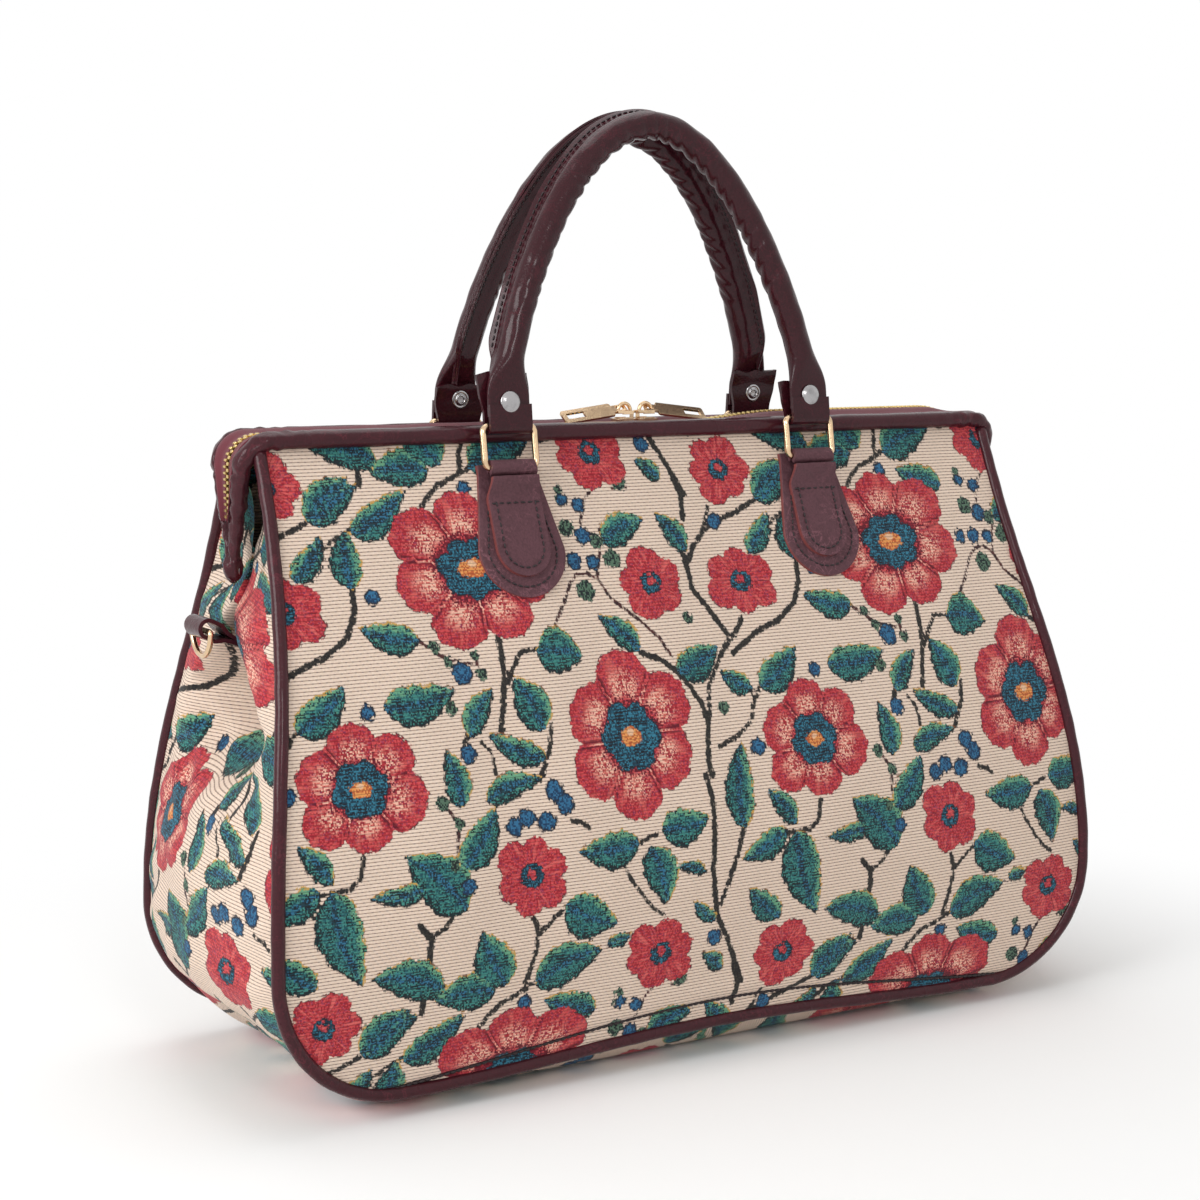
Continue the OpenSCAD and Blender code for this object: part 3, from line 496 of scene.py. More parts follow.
tapestry = tapestryCloth()
handleLeather = burgundyLeather("glossy handle leather", (58, 18, 26), 0.27, 0.3, 0.8)
trimLeather = burgundyLeather("trim leather", (70, 27, 35), 0.28, 0.24, 0.9)
patchLeather = burgundyLeather("patch leather", (102, 68, 75), 0.42, 0.05, 1.2)
gold = platedMetal("pale gold plate", (228, 197, 160), 0.12)
brass = platedMetal("brass zip teeth", (222, 194, 128), 0.22)
silver = platedMetal("silver cap", (172, 170, 171), 0.16)
steel = platedMetal("frame steel", (150, 150, 154), 0.3)
tapeCloth = zipTapeCloth()
thread = sewingThread()
board = stiffBoard()
print("finishes made")


# the body's shape, in millimetres, as the solids have it

bag = dict(halfWidth=210.0, seamTopHalf=190.0, seamTopZ=262.0, clothTopZ=269.0, seamBaseZ=10.0, baseBow=6.0,
           cornerR=55.0, shoulderZ=195.0, shoulderDepth=48.0, bellyZ=60.0, swell=6.0, clothT=2.4,
           panelTopZ=272.0, railCornerHalf=187.5, railY=16.0, railZ=276.0, railR=3.7, legX=196.0,
           hingeZ=222.0, bendR=12.0, pipingR=2.9)
cornerX = bag["halfWidth"] - bag["cornerR"]
cornerZ = bag["seamBaseZ"] + bag["cornerR"]
slope = (bag["shoulderDepth"] - bag["railY"]) / (bag["panelTopZ"] - bag["shoulderZ"])


def depthAt(z):
    z = np.asarray(z, float)
    h = bag["shoulderZ"] - z
    low = bag["shoulderDepth"] + slope * (h - h * h / (2 * (bag["shoulderZ"] - bag["bellyZ"])))
    return np.where(z >= bag["shoulderZ"], bag["shoulderDepth"] + slope * h, low)


def halfAt(z):
    s = np.clip((bag["seamTopZ"] - np.asarray(z, float)) / (bag["seamTopZ"] - cornerZ), 0, 1)
    return bag["seamTopHalf"] + (bag["halfWidth"] - bag["seamTopHalf"]) * (1 - np.cos(math.pi * s)) / 2


def bowAt(x):
    return bag["baseBow"] * (1 + np.cos(math.pi * np.minimum(1, np.abs(x) / cornerX))) / 2


def swellAt(z, c):
    s = np.clip((bag["shoulderZ"] - z) / (bag["shoulderZ"] - bag["seamBaseZ"]), 0, 1)
    return bag["swell"] * (1 - c * c) * np.sin(math.pi * s) ** 2


# the woven pattern: one repeat, drawn from simple shapes in millimetres

repeat = dict(width=222.0, height=213.0)

# x, z, half width, half height, lobes, first lobe in degrees, 1 for a large flower
flowers = [(-104, 221, 43, 34, 7, 93, 1), (-43, 147.5, 35, 35.5, 6, 90, 1),
           (51.5, 138, 30.5, 28.5, 6, 98, 1), (-35, 53.5, 19, 17.5, 6, 75, 0),
           (30.5, 44, 17.8, 16, 6, 65, 0), (-18, 210, 17.8, 16, 5, 100, 0), (30, 208, 20, 16.2, 6, 88, 0),
           (-97.5, 95.5, 18.8, 18, 6, 80, 0)]
# root x and z, tip x and z, width
leaves = [(-156, 237.5, -131, 250.5, 13), (-135, 193.5, -160, 200, 12.5), (-155, 168.5, -122.5, 173, 16),
          (-119.5, 154.5, -105, 172, 11), (-85, 154, -94, 176, 16), (-86, 142.5, -110, 154, 10.5),
          (-127.5, 127, -131, 150, 12), (-115.5, 128.5, -89, 135, 10.5), (-129.5, 102.5, -112, 125, 15),
          (-81, 186, -59, 182, 19), (-30.5, 182.5, -47, 197.5, 11), (-38, 228.5, -15.5, 237.5, 13),
          (4, 222.5, -8.5, 239, 11), (47, 243.5, 68, 260, 14), (37, 220, 52, 237, 10.5),
          (61.5, 216, 63, 239, 14), (-14, 172, 9.5, 181, 15), (23, 162, 8.5, 170.5, 9.5),
          (28, 162, 51, 178, 15), (7.5, 104, 12, 140, 15), (35.5, 103, 22.5, 118.5, 10),
          (30, 100.5, 6.5, 90, 12), (35, 99, 47, 60.5, 20), (27, 61.5, 10.5, 76, 13),
          (83, 54, 51.5, 62, 16.5), (50, 29, 71.5, 44, 12), (93, 86, 68, 110, 22), (77, 97, 52, 95, 8),
          (-34, 107.5, -10, 110.5, 16), (-40, 101, -33, 75.5, 16.5), (-13, 87.5, -27.5, 91, 5.5),
          (-7, 64.5, -19, 74.5, 6.5), (-2, 41, -13, 50, 8), (-46, 103.5, -75, 103, 15.5),
          (-82.5, 81, -58, 70.5, 19), (-110, 51, -121.5, 75, 18.5), (-116, 49, -143, 48.5, 15.5),
          (-96, 49, -64.5, 60, 18), (-62, 62, -50, 64.5, 6.5), (-66, 33, -91, 41, 14.5),
          (-154, 27, -129, 41, 11.5)]
# width, then the points of each stem
stems = [(2.9, [(4.5, 256), (7, 247), (5.5, 236.5)]),
         (2.8, [(1.5, 222), (2.5, 215), (3, 206), (9, 198), (16, 186)]),
         (2.6, [(3, 217), (8, 224), (16, 231), (24, 234.5), (34, 237.5), (47, 243)]),
         (1.9, [(20.5, 241), (17, 234), (13, 229)]),
         (2.7, [(62, 217), (61, 206), (56, 197), (45, 190), (33, 186), (17, 177.5)]),
         (2.4, [(26, 192), (21, 186), (14, 181), (7, 173), (1, 165), (-1.5, 155), (-2.5, 152)]),
         (2.6, [(-30.5, 181.5), (-21, 177.5), (-14, 172), (-9, 165), (-5, 158), (-3.5, 150), (-5, 144.5),
                (-6.5, 133.5), (-5.5, 127.5)]),
         (2.7, [(-98, 193), (-98, 179), (-99.5, 172), (-102, 162), (-104, 155)]),
         (2.1, [(-81, 186.5), (-89, 186), (-94, 179), (-98, 173)]),
         (2.4, [(-81, 156), (-83, 147), (-86, 141.5), (-89, 135.5)]), (2.6, [(-120, 155), (-122.5, 150)]),
         (1.8, [(-114, 151.5), (-110, 147), (-109.5, 138)]),
         (2.4, [(-97.5, 78), (-95.5, 71.5), (-96, 64.5), (-99, 55.5), (-101, 49.5)]),
         (2.2, [(-83.5, 80), (-90, 74.5), (-95, 70.5)]),
         (2.4, [(-97, 49), (-105, 45.5), (-113, 42.5), (-118, 38.5), (-122, 34)]),
         (3.0, [(-150, 81.5), (-145, 75.5), (-145.5, 67.5), (-147, 57.5), (-149, 44)]),
         (1.8, [(-54.5, 95.5), (-50, 87.5), (-45, 80.5), (-40, 74.5), (-34, 70.5)]),
         (2.0, [(-46, 103.5), (-36, 106.5)]), (2.2, [(-78, 116.5), (-73, 115), (-70, 112.5)]),
         (2.7, [(-9, 128.5), (-7.5, 118.5), (-7.5, 102.5), (-9, 87.5), (-8, 75.5), (-6, 65.5), (-1, 56.5),
                (4, 45.5), (9, 34)]),
         (2.5, [(8, 104.5), (5, 94.5), (0, 83.5), (-5, 71.5)]),
         (2.2, [(50, 112), (48, 103.5), (43, 99.5), (30, 99)]),
         (2.0, [(-0.5, 139), (10, 142.5), (19, 148), (22, 155), (28, 163)]), (1.6, [(22.5, 157), (23, 163)]),
         (2.2, [(90, 88), (84, 80), (77, 76)]), (2.0, [(71, 29), (60, 24), (48, 17)])]
twigs = [(1.5, [(-40, 205), (-28, 195), (-20, 187), (-15.5, 179)]),
         (1.5, [(-40, 206), (-44, 213), (-40, 225), (-37, 236)]),
         (1.5, [(-70, 195.5), (-64, 203), (-58, 212), (-54, 215.5), (-49, 216), (-44, 213)]),
         (1.6, [(-137, 195), (-130, 190), (-123, 185), (-112, 182.5)]),
         (1.4, [(-47, 236), (-42, 247), (-36, 253)]), (1.4, [(-134, 127), (-130, 121), (-132, 104)]),
         (1.5, [(-127, 101), (-134, 94.5)]), (1.4, [(-64, 60), (-56, 61)]), (1.4, [(-28, 38), (-20, 38.4)]),
         (1.4, [(-110, 187), (-109, 178)])]
# x, z, radius
berries = [(-46, 244.5, 2.6), (-47, 231.5, 3.2), (-61.5, 221, 2.6), (-53.5, 221, 3), (-44.5, 220, 2.6),
           (-117.5, 179.5, 4), (-121, 147.5, 3.2), (22.5, 234.5, 3.1), (59, 167.5, 2.7), (-84, 129.5, 3.6),
           (-80, 123.5, 3.5), (-98, 119.5, 3.3), (-104, 116.5, 3.3), (-89, 117, 3.5), (-127.5, 95, 2.9),
           (-101, 41, 2.7), (20.5, 137.5, 3.3), (-7.5, 56.5, 3.1), (-152, 212, 2.6), (-54, 34, 2.2)]
buds = [(-54.5, 235, 4.0), (-35, 221, 4.2), (-41, 229, 3.4), (-128.5, 190.5, 2.6), (-110, 186, 2.2),
        (-108.5, 178, 2.7), (-125.5, 166, 3.0), (-51, 208.5, 4.4), (-136, 129.5, 3.1), (-129.5, 120.5, 2.6),
        (-133, 104, 2.2), (-55, 38.5, 2.2), (-24, 253, 3.4), (-3, 194, 2.6), (6.5, 155, 3.0),
        (-55, 247, 2.6), (-123, 184, 2.4)]


farOff = 60.0


# signed distances in millimetres, below zero inside, for every motif at cloth places s, t
def wovenFields(s, t):
    w, h = repeat["width"], repeat["height"]

    def off(x, z):
        return (s - x + w / 2) % w - w / 2, (t - z + h / 2) % h - h / 2

    # where a place is nearer to a new motif than to those before, it takes the new one's values
    def keepNearest(near, better, values):
        for key, value in values.items():
            held = out[key][near]
            held[better] = value[better]
            out[key][near] = held

    def keepLeast(key, near, value):
        out[key][near] = np.minimum(out[key][near], value)

    distances = ("flower", "core", "eye", "spark", "leaf", "vein", "stem", "twig", "berry", "bud")
    out = {k: np.full(s.shape, farOff) for k in distances}
    for k in ("petal", "lobe", "big", "shade"):
        out[k] = np.zeros(s.shape)
    for k, (x, z, a, b, lobes, first, big) in enumerate(flowers):
        ds, dt = off(x, z)
        near = (np.abs(ds) < a * 1.5) & (np.abs(dt) < b * 1.5)
        ds, dt = ds[near] / a, dt[near] / b
        angle = np.degrees(np.arctan2(dt, ds)) - first
        reach = np.hypot(ds, dt)
        angle = angle + 5 * np.sin(np.radians(angle * 2 + 50 * k))
        part = ((angle * lobes / 360 + 0.5) % 1) * 2 - 1
        which = np.round(angle * lobes / 360) % lobes
        grow = 0.93 + 0.07 * np.sin(which * 2.4 + k * 1.7)
        rim = grow * (1 - 0.2 * np.abs(part) ** 2.2) + 0.012 * np.sin(np.radians(angle) * 23 + k)
        size = 0.5 * (a + b)
        dist = (reach - rim) * size
        keepNearest(near, dist < out["flower"][near],
                    dict(flower=dist, petal=reach / rim, lobe=part, big=np.full(dist.shape, big)))
        ring = (0.41 if big else 0.27) * (0.9 if k == 0 else 1)
        if big:
            coreRim = ring * (1 - 0.2 * np.abs(((angle + 180 / lobes) * lobes / 360 + 0.5) % 1 * 2 - 1) ** 2)
            coreDist = (reach - coreRim) * size
            eyeDist = (np.hypot(ds * 0.9, dt * 1.15) - 0.135) * size
            spark = (np.hypot(ds, (dt - 0.05) * 1.3) - 0.055) * size
            keepLeast("eye", near, eyeDist)
            keepLeast("spark", near, spark)
        else:
            coreDist = np.maximum(reach - ring, 0.14 - np.hypot(ds, dt - 0.05)) * size
        keepLeast("core", near, coreDist)
    for k, (x0, z0, x1, z1, wide) in enumerate(leaves):
        ds, dt = off((x0 + x1) / 2, (z0 + z1) / 2)
        long = math.hypot(x1 - x0, z1 - z0)
        ux, uz = (x1 - x0) / long, (z1 - z0) / long
        near = np.hypot(ds, dt) < long * 0.75 + 4
        along = (ds[near] * ux + dt[near] * uz) / long + 0.5
        across = -ds[near] * uz + dt[near] * ux
        bend = (0.06 if k % 2 else -0.06) * long * np.sin(math.pi * np.clip(along, 0, 1))
        span = np.clip(along, 0, 1)
        half = wide / 2 * np.sin(math.pi * span ** 0.72) ** 0.8
        half = half * (1 + 0.05 * np.sin(span * 26 + k))
        ends = np.maximum(0, np.maximum(-along, along - 1)) * long
        side = np.abs(across - bend)
        dist = np.hypot(np.maximum(side - half, 0), ends) + np.minimum(side - half, 0) * 0.85
        above = 1 if (ux if abs(ux) > 0.3 else -uz) > 0 else -1
        shade = above * (across - bend) / np.maximum(half, 1.5)
        vein = side + 3.4 * np.maximum(0, span - 0.72)
        keepNearest(near, dist < out["leaf"][near], dict(leaf=dist, shade=shade, vein=vein))
    for key, group in (("stem", stems), ("twig", twigs)):
        for wide, points in group:
            for (x0, z0), (x1, z1) in zip(points[:-1], points[1:]):
                ds, dt = off(x0, z0)
                long2 = (x1 - x0) ** 2 + (z1 - z0) ** 2
                span = np.clip((ds * (x1 - x0) + dt * (z1 - z0)) / long2, 0, 1)
                dist = np.hypot(ds - span * (x1 - x0), dt - span * (z1 - z0)) - wide / 2
                out[key] = np.minimum(out[key], dist)
    for key, group in (("berry", berries), ("bud", buds)):
        for x, z, r in group:
            ds, dt = off(x, z)
            out[key] = np.minimum(out[key], np.hypot(ds, dt) - r)
    return {k: np.clip(v, -farOff, farOff) for k, v in out.items()}


def clothFields(s, t):
    fields = wovenFields(s, t)
    fields["cloth"] = np.stack([s, t, np.zeros_like(s)], -1)
    return fields


# camera, floor and light

# degrees and millimetres; the focal length is in pixels of the photo's width
view = dict(azimuth=-30.388, elevation=7.4, distance=1032.45, target=(-18.356, 0.0, 197.39), focal=2250.3,
            pixels=1200, sensor=36.0)


def setCamera():
    a, e = math.radians(view["azimuth"]), math.radians(view["elevation"])
    back = Vector((math.sin(a) * math.cos(e), -math.cos(a) * math.cos(e), math.sin(e)))
    data = bpy.data.cameras.new("camera")
    data.sensor_fit, data.sensor_width = "HORIZONTAL", view["sensor"]
    data.lens = view["focal"] / view["pixels"] * view["sensor"]
    data.clip_start, data.clip_end = 0.05, 50
    camera = bpy.data.objects.new("camera", data)
    scene.collection.objects.link(camera)
    camera.location = Vector(view["target"]) * mm + back * view["distance"] * mm
    camera.rotation_mode = "QUATERNION"
    camera.rotation_quaternion = (-back).to_track_quat("-Z", "Y")
    scene.camera = camera


# lamps: power in watts, side and place in metres; the floor fades to white between two radii in metres
studio = dict(sky=0.6, floorTone=(251, 251, 250), fade=(0.2, 0.46), aim=(0, 0, 0.18),
              lamps=dict(key=(17.0, 0.9, (-1.6, -0.35, 0.95)), fill=(3.4, 0.32, (-0.5, -1.55, 0.95)),
                         top=(6.0, 1.2, (0.1, 0.3, 1.6))))
floor = dict(z=-0.4, inner=900, outer=9000, sides=64)


def setWorld():
    n = Nodes(bpy.data.worlds.new("studio"))
    scene.world = n.owner
    n.finish(Color=(1, 1, 1, 1), Strength=studio["sky"])
    white = n.add("ShaderNodeBackground", {"Color": (1, 1, 1, 1), "Strength": 1.0})
    rays = n.add("ShaderNodeLightPath").outputs
    seen = n.larger(n.larger(rays["Is Camera Ray"], rays["Is Glossy Ray"]), rays["Is Transmission Ray"])
    n.blend(seen, n.shader, white)


def setLamps():
    for name, (power, size, at) in studio["lamps"].items():
        data = bpy.data.lights.new(name, "AREA")
        data.energy, data.shape, data.size = power, "SQUARE", size
        lamp = bpy.data.objects.new(name, data)
        scene.collection.objects.link(lamp)
        lamp.location = at
        lamp.rotation_mode = "QUATERNION"
        lamp.rotation_quaternion = (Vector(studio["aim"]) - Vector(at)).to_track_quat("-Z", "Y")


def setFloor():
    n = newFinish("pale floor")
    place = n.place()
    reach = n.add("ShaderNodeVectorMath", {0: place}, operation="LENGTH").outputs["Value"]
    away = n.above(reach, *studio["fade"])
    soft = n.noise(place, 3.0, 2.0, 0.5)
    tone = n.mix(soft, srgb(*studio["floorTone"]), srgb(*[v - 2 for v in studio["floorTone"]]))
    n.finish(Base_Color=tone, Roughness=0.9, Specular_IOR_Level=0.0)
    glow = n.add("ShaderNodeEmission", {"Color": (1, 1, 1, 1), "Strength": 1.0})
    rays = n.add("ShaderNodeLightPath").outputs
    n.blend(n.times(away, n.larger(rays["Is Camera Ray"], rays["Is Glossy Ray"])), n.shader, glow)
    count = floor["sides"]
    a = np.linspace(0, 2 * math.pi, count + 1)[:-1]
    rim = np.stack([np.cos(a), np.sin(a), np.zeros(count)], -1)
    low = [0, 0, floor["z"]]
    points = np.concatenate([[low], rim * floor["inner"] + low, rim * floor["outer"] + low])
    after = [(k + 1) % count for k in range(count)]
    faces = [[0, 1 + k, 1 + j] for k, j in enumerate(after)]
    faces += [[1 + k, 1 + count + k, 1 + count + j, 1 + j] for k, j in enumerate(after)]
    makeObject("floor", points, faces, n.owner, outward=lambda p: (0, 0, 1))


setCamera()
setWorld()
setLamps()
setFloor()
print("camera and studio set")


# front and back cloth

panel = dict(step=1.4, cornerRows=46, seamInset=1.0, topLap=2.0, edgePuff=1.6, edgeRun=9.0, wrinkle=0.55,
             tuckLift=8.5, tuckHalf=168.0, tuckRaise=1.5, tuckDepth=1.6, tuckWidth=1.3, lip=0.9, lipRise=5.0,
             lipWidth=4.0, threadHalf=158.0, backShift=37.0)


def tuckHeight(x):
    lift = panel["tuckLift"] * np.clip(1 - (x / panel["tuckHalf"]) ** 2, 0, 1)
    return bag["seamBaseZ"] + bowAt(x) + lift + panel["tuckRaise"]


def panelGrid():
    step, inset = panel["step"], panel["seamInset"]
    topZ = bag["panelTopZ"] + panel["topLap"]
    zTop = np.linspace(topZ, bag["seamTopZ"], 9)[:-1]
    halfTop = np.interp(zTop, [bag["seamTopZ"], topZ], [bag["seamTopHalf"] - inset, bag["railCornerHalf"]])
    zSide = np.linspace(bag["seamTopZ"], cornerZ, int((bag["seamTopZ"] - cornerZ) / step) + 1)
    halfSide = halfAt(zSide) - inset
    a = np.linspace(0, math.pi / 2, panel["cornerRows"] + 1)[1:]
    zLow = cornerZ - (bag["cornerR"] - inset) * np.sin(a)
    halfLow = cornerX + (bag["cornerR"] - inset) * np.cos(a)
    z = np.concatenate([zTop, zSide, zLow])[:, None]
    half = np.concatenate([halfTop, halfSide, halfLow])[:, None]
    cornerBow = (np.arange(1, len(a) + 1) / len(a)) ** 2
    bow = np.concatenate([np.zeros(len(zTop) + len(zSide)), cornerBow])[:, None]
    c = np.linspace(-1, 1, int(2 * bag["halfWidth"] / step) + 1)[None]
    x = c * half
    z = z + bow * bowAt(x)
    out = depthAt(z) + swellAt(z, c)
    # the cloth swells a little beside the piping, then turns in under it
    seamGap = np.minimum(half - np.abs(x), z - (bag["seamBaseZ"] + bowAt(x)))
    topGap = topZ - z
    puff = 1 - np.exp(-np.maximum(seamGap, 0) / panel["edgeRun"])
    out = out + panel["edgePuff"] * puff * smooth(0, 18, topGap)
    calm = smooth(4, 30, seamGap) * smooth(4, 30, topGap)
    out = out + panel["wrinkle"] * calm * (ripple(x, z * 0.35, 3, 74) + 0.5 * ripple(x, z, 5, 46))
    # sewn tuck above the bottom piping
    tuck = z - tuckHeight(x)
    out = out - panel["tuckDepth"] * np.exp(-(tuck / panel["tuckWidth"]) ** 2) * smooth(175, 150, np.abs(x))
    lip = np.exp(-((tuck - panel["lipRise"]) / panel["lipWidth"]) ** 2)
    out = out + panel["lip"] * lip * smooth(170, 130, np.abs(x))
    return np.stack([x, -out, z], -1)


def makePanel(name, node, back):
    grid = panelGrid()
    rows, cols = grid.shape[:2]
    points = grid.reshape(-1, 3)
    s, t = points[:, 0].copy(), points[:, 2].copy()
    if back:
        points = points * [1, -1, 1]
        s = panel["backShift"] - s
    sign = 1 if back else -1
    piece = makeObject(name, points, gridFaces(rows, cols), tapestry, clothFields(s, t),
                       outward=lambda p: (0, sign, 0))
    return dress(piece, node, "bag")


frontCloth = makePanel("front_cloth", "front_panel", False)
backCloth = makePanel("back_cloth", "back_panel", True)
print("panels made:", len(frontCloth.data.polygons), "faces each")


# folded side and base strip

strip = dict(alongStep=1.6, acrossCount=104, coverEdge=1.4, crumple=0.7, valley=38.0, hingeDent=7.0, puff=5.0,
             bulge=14.0, dip=15.0, frameDent=6.0, valleyTop=208.0, valleyOpen=170.0, valleyEnd=122.0,
             bulgeTop=150.0, bulgeFull=95.0, puffTop=250.0, mouth=0.12, wide=0.8, creaseDepth=1.7,
             creasePitch=15.0, weaveZ=(110, 190, 250), weaveWidth=(147, 126, 105), weaveStart=156.0,
             weaveLift=23.0, weaveSlant=0.12, weaveMiddle=51.0, weaveTurn=300.0)


# how far out the strip lies at a height, for places u across it
def stripOut(z, u):
    opened = np.clip((strip["valleyTop"] - z) / (strip["valleyTop"] - strip["valleyOpen"]), 0, 1)
    place = np.abs(u) / (strip["mouth"] + (strip["wide"] - strip["mouth"]) * opened ** 1.3)
    valley = strip["hingeDent"] + (strip["valley"] - strip["hingeDent"]) * np.sin(math.pi / 2 * opened)
    valley = valley * smooth(strip["valleyEnd"], strip["valleyOpen"], z)
    puff = np.clip((strip["puffTop"] - z) / (strip["puffTop"] - strip["valleyEnd"]), 0, 1)
    puff = strip["puff"] * np.sin(math.pi * puff) ** 2
    return (halfAt(z) + strip["bulge"] * smooth(strip["bulgeTop"], strip["bulgeFull"], z) * (1 - u * u)
            - valley * (1 - smooth(0.15, 1, place)) + puff * smooth(0.6, 1.1, place) * (1 - u ** 8)
            - strip["frameDent"] * smooth(bag["hingeZ"] - 20, bag["hingeZ"], z) * (1 - u ** 4))


def crumple(y, z):
    return strip["crumple"] * (ripple(y, z * 1.6, 11, 34) + 0.8 * ripple(y * 0.4, z, 13, 21))


def makeStrip():
    u = np.linspace(-1, 1, strip["acrossCount"])
    flat = smooth(0, 0.24, 1 - np.abs(u))
    edge = bag["pipingR"] + 0.3 - strip["coverEdge"]
    yTop = u * (depthAt(bag["clothTopZ"]) - edge)
    # the top edge dips between the frame's legs
    notch = bag["hingeZ"] + (bag["railZ"] - bag["hingeZ"]) * np.abs(yTop) / bag["railY"] + 2.5
    notch = np.minimum(bag["clothTopZ"], notch)
    calm = smooth(0, 0.12, 1 - np.abs(u))
    rows = []
    count = int((bag["clothTopZ"] - cornerZ) / strip["alongStep"])
    for zEdge in np.linspace(bag["clothTopZ"], cornerZ, count + 1):
        z = cornerZ + (zEdge - cornerZ) * (notch - cornerZ) / (bag["clothTopZ"] - cornerZ)
        y = u * (depthAt(zEdge) - edge)
        pull = calm * crumple(y, z)
        # slack creases that run down and back below the fold
        slant = (z - 150) * 0.75 - (np.abs(y) - 26) * 0.66
        crease = np.exp(-((np.abs(y) - 30) / 16) ** 2 - ((z - 146) / 22) ** 2)
        wave = np.sin(slant * 2 * math.pi / strip["creasePitch"])
        pull = pull + strip["creaseDepth"] * crease * calm * wave
        rows.append(np.stack([-(stripOut(z, u) + pull), y, z], -1))
    sideRows = len(rows)
    steps = int(bag["cornerR"] * math.pi / 2 / strip["alongStep"])
    for a in np.linspace(0, math.pi / 2, steps + 1)[1:]:
        middle = 1 - u * u
        r = bag["cornerR"] + flat * (bag["seamBaseZ"] - bag["clothT"] / 2) * math.sin(a) ** 2
        r = r + strip["bulge"] * middle * math.cos(a) ** 2 - strip["dip"] * middle * math.sin(2 * a) ** 2
        zEdge = cornerZ - bag["cornerR"] * math.sin(a)
        y = u * (depthAt(zEdge) - edge)
        r = r + calm * math.cos(a) ** 2 * crumple(y, zEdge + 0 * y)
        rows.append(np.stack([-cornerX - r * math.cos(a), y, cornerZ - r * math.sin(a)], -1))
    for x in np.linspace(-cornerX, 0, int(cornerX / strip["alongStep"] / 1.4) + 1)[1:]:
        zEdge = bag["seamBaseZ"] + float(bowAt(x))
        y = u * (depthAt(zEdge) - edge)
        rows.append(np.stack([np.full_like(u, x), y, zEdge - flat * (zEdge - bag["clothT"] / 2)], -1))
    left = np.array(rows)
    grid = mirrored(left)
    # lengths measured on the cloth itself, so that the weave follows the folds; each half stands upright
    over = np.linalg.norm(np.diff(left, axis=1), axis=-1)
    share = np.concatenate([np.zeros((len(left), 1)), np.cumsum(over, 1)], 1)
    share = share / share[:, -1:]
    z = left[..., 2]
    s = strip["weaveStart"] - np.interp(z, strip["weaveZ"], strip["weaveWidth"]) * share
    low = np.cumsum(np.linalg.norm(np.diff(left[sideRows - 1:, ::26], axis=0), axis=-1).mean(1))
    t = z + strip["weaveLift"]
    t[sideRows:] = cornerZ + strip["weaveLift"] - low[:, None]
    t = t + strip["weaveSlant"] * (s - strip["weaveMiddle"])
    s = np.concatenate([s, strip["weaveTurn"] - s[-2::-1]])
    t = np.concatenate([t, t[-2::-1]])
    piece = makeObject("side_cloth", grid, gridFaces(*grid.shape[:2]), tapestry,
                       clothFields(s.ravel(), t.ravel()), outward=lambda p: (p.x, 0, p.z - 0.16))
    return dress(piece, "gusset_strip", "bag")


sideCloth = makeStrip()
print("side strip made:", len(sideCloth.data.polygons), "faces")


# piping along both seams

piping = dict(radius=2.9, sides=14, step=2.2)


def seamPath():
    z = np.linspace(bag["clothTopZ"] + 2, cornerZ, 90)
    side = np.stack([-halfAt(z), -depthAt(z), z], -1)
    a = np.linspace(0, math.pi / 2, 40)[1:]
    zc = cornerZ - bag["cornerR"] * np.sin(a)
    corner = np.stack([-cornerX - bag["cornerR"] * np.cos(a), -depthAt(zc), zc], -1)
    x = np.linspace(-cornerX, 0, 40)[1:]
    zb = bag["seamBaseZ"] + bowAt(x)
    base = np.stack([x, -depthAt(zb), zb], -1)
    return mirrored(np.concatenate([side, corner, base]))


def makePiping(name, node, back):
    path = evenPath(seamPath(), piping["step"])
    run = np.arange(len(path)) * piping["step"]
    a = fullTurn(piping["sides"])
    r = piping["radius"] * (1 + 0.035 * ripple(run[:, None], a[None] * 3, 21, 17))
    points, faces = sweep(path, aroundAxis(r, a), (0, 1, 0))
    points = points * [1, -1 if back else 1, 1]
    piece = makeObject(name, points, faces, trimLeather, closed=True)
    return dress(piece, node, "bag")


makePiping("front_seam_piping", "front_piping", False)
makePiping("back_seam_piping", "back_piping", True)
print("piping made")


# leather rails over the frame wires

rail = dict(radius=3.7, sides=20, step=1.4, lip=0.9, lipAngle=62.0, crumple=0.34, endRadius=2.5, endRun=44.0,
            stop=3.0, wrapR=5.2, wrapRows=15, wrapCols=24)
frameRise = math.hypot(bag["railZ"] - bag["hingeZ"], bag["railY"])
frameTilt = math.atan2(bag["railY"], bag["railZ"] - bag["hingeZ"])


def onFrame(points):
    x, h = points[:, 0], points[:, 1]
    return np.stack([x, -h * math.sin(frameTilt), bag["hingeZ"] + h * math.cos(frameTilt)], -1)


def railPath(stop):
    flatX = bag["legX"] - bag["bendR"]
    a = np.linspace(0, math.pi / 2, 16)
    bend = [-flatX, frameRise - bag["bendR"]] + bag["bendR"] * np.stack([-np.cos(a), np.sin(a)], -1)
    half = np.concatenate([[[-bag["legX"], stop]], bend])
    return np.concatenate([half, half[::-1] * [-1, 1]])


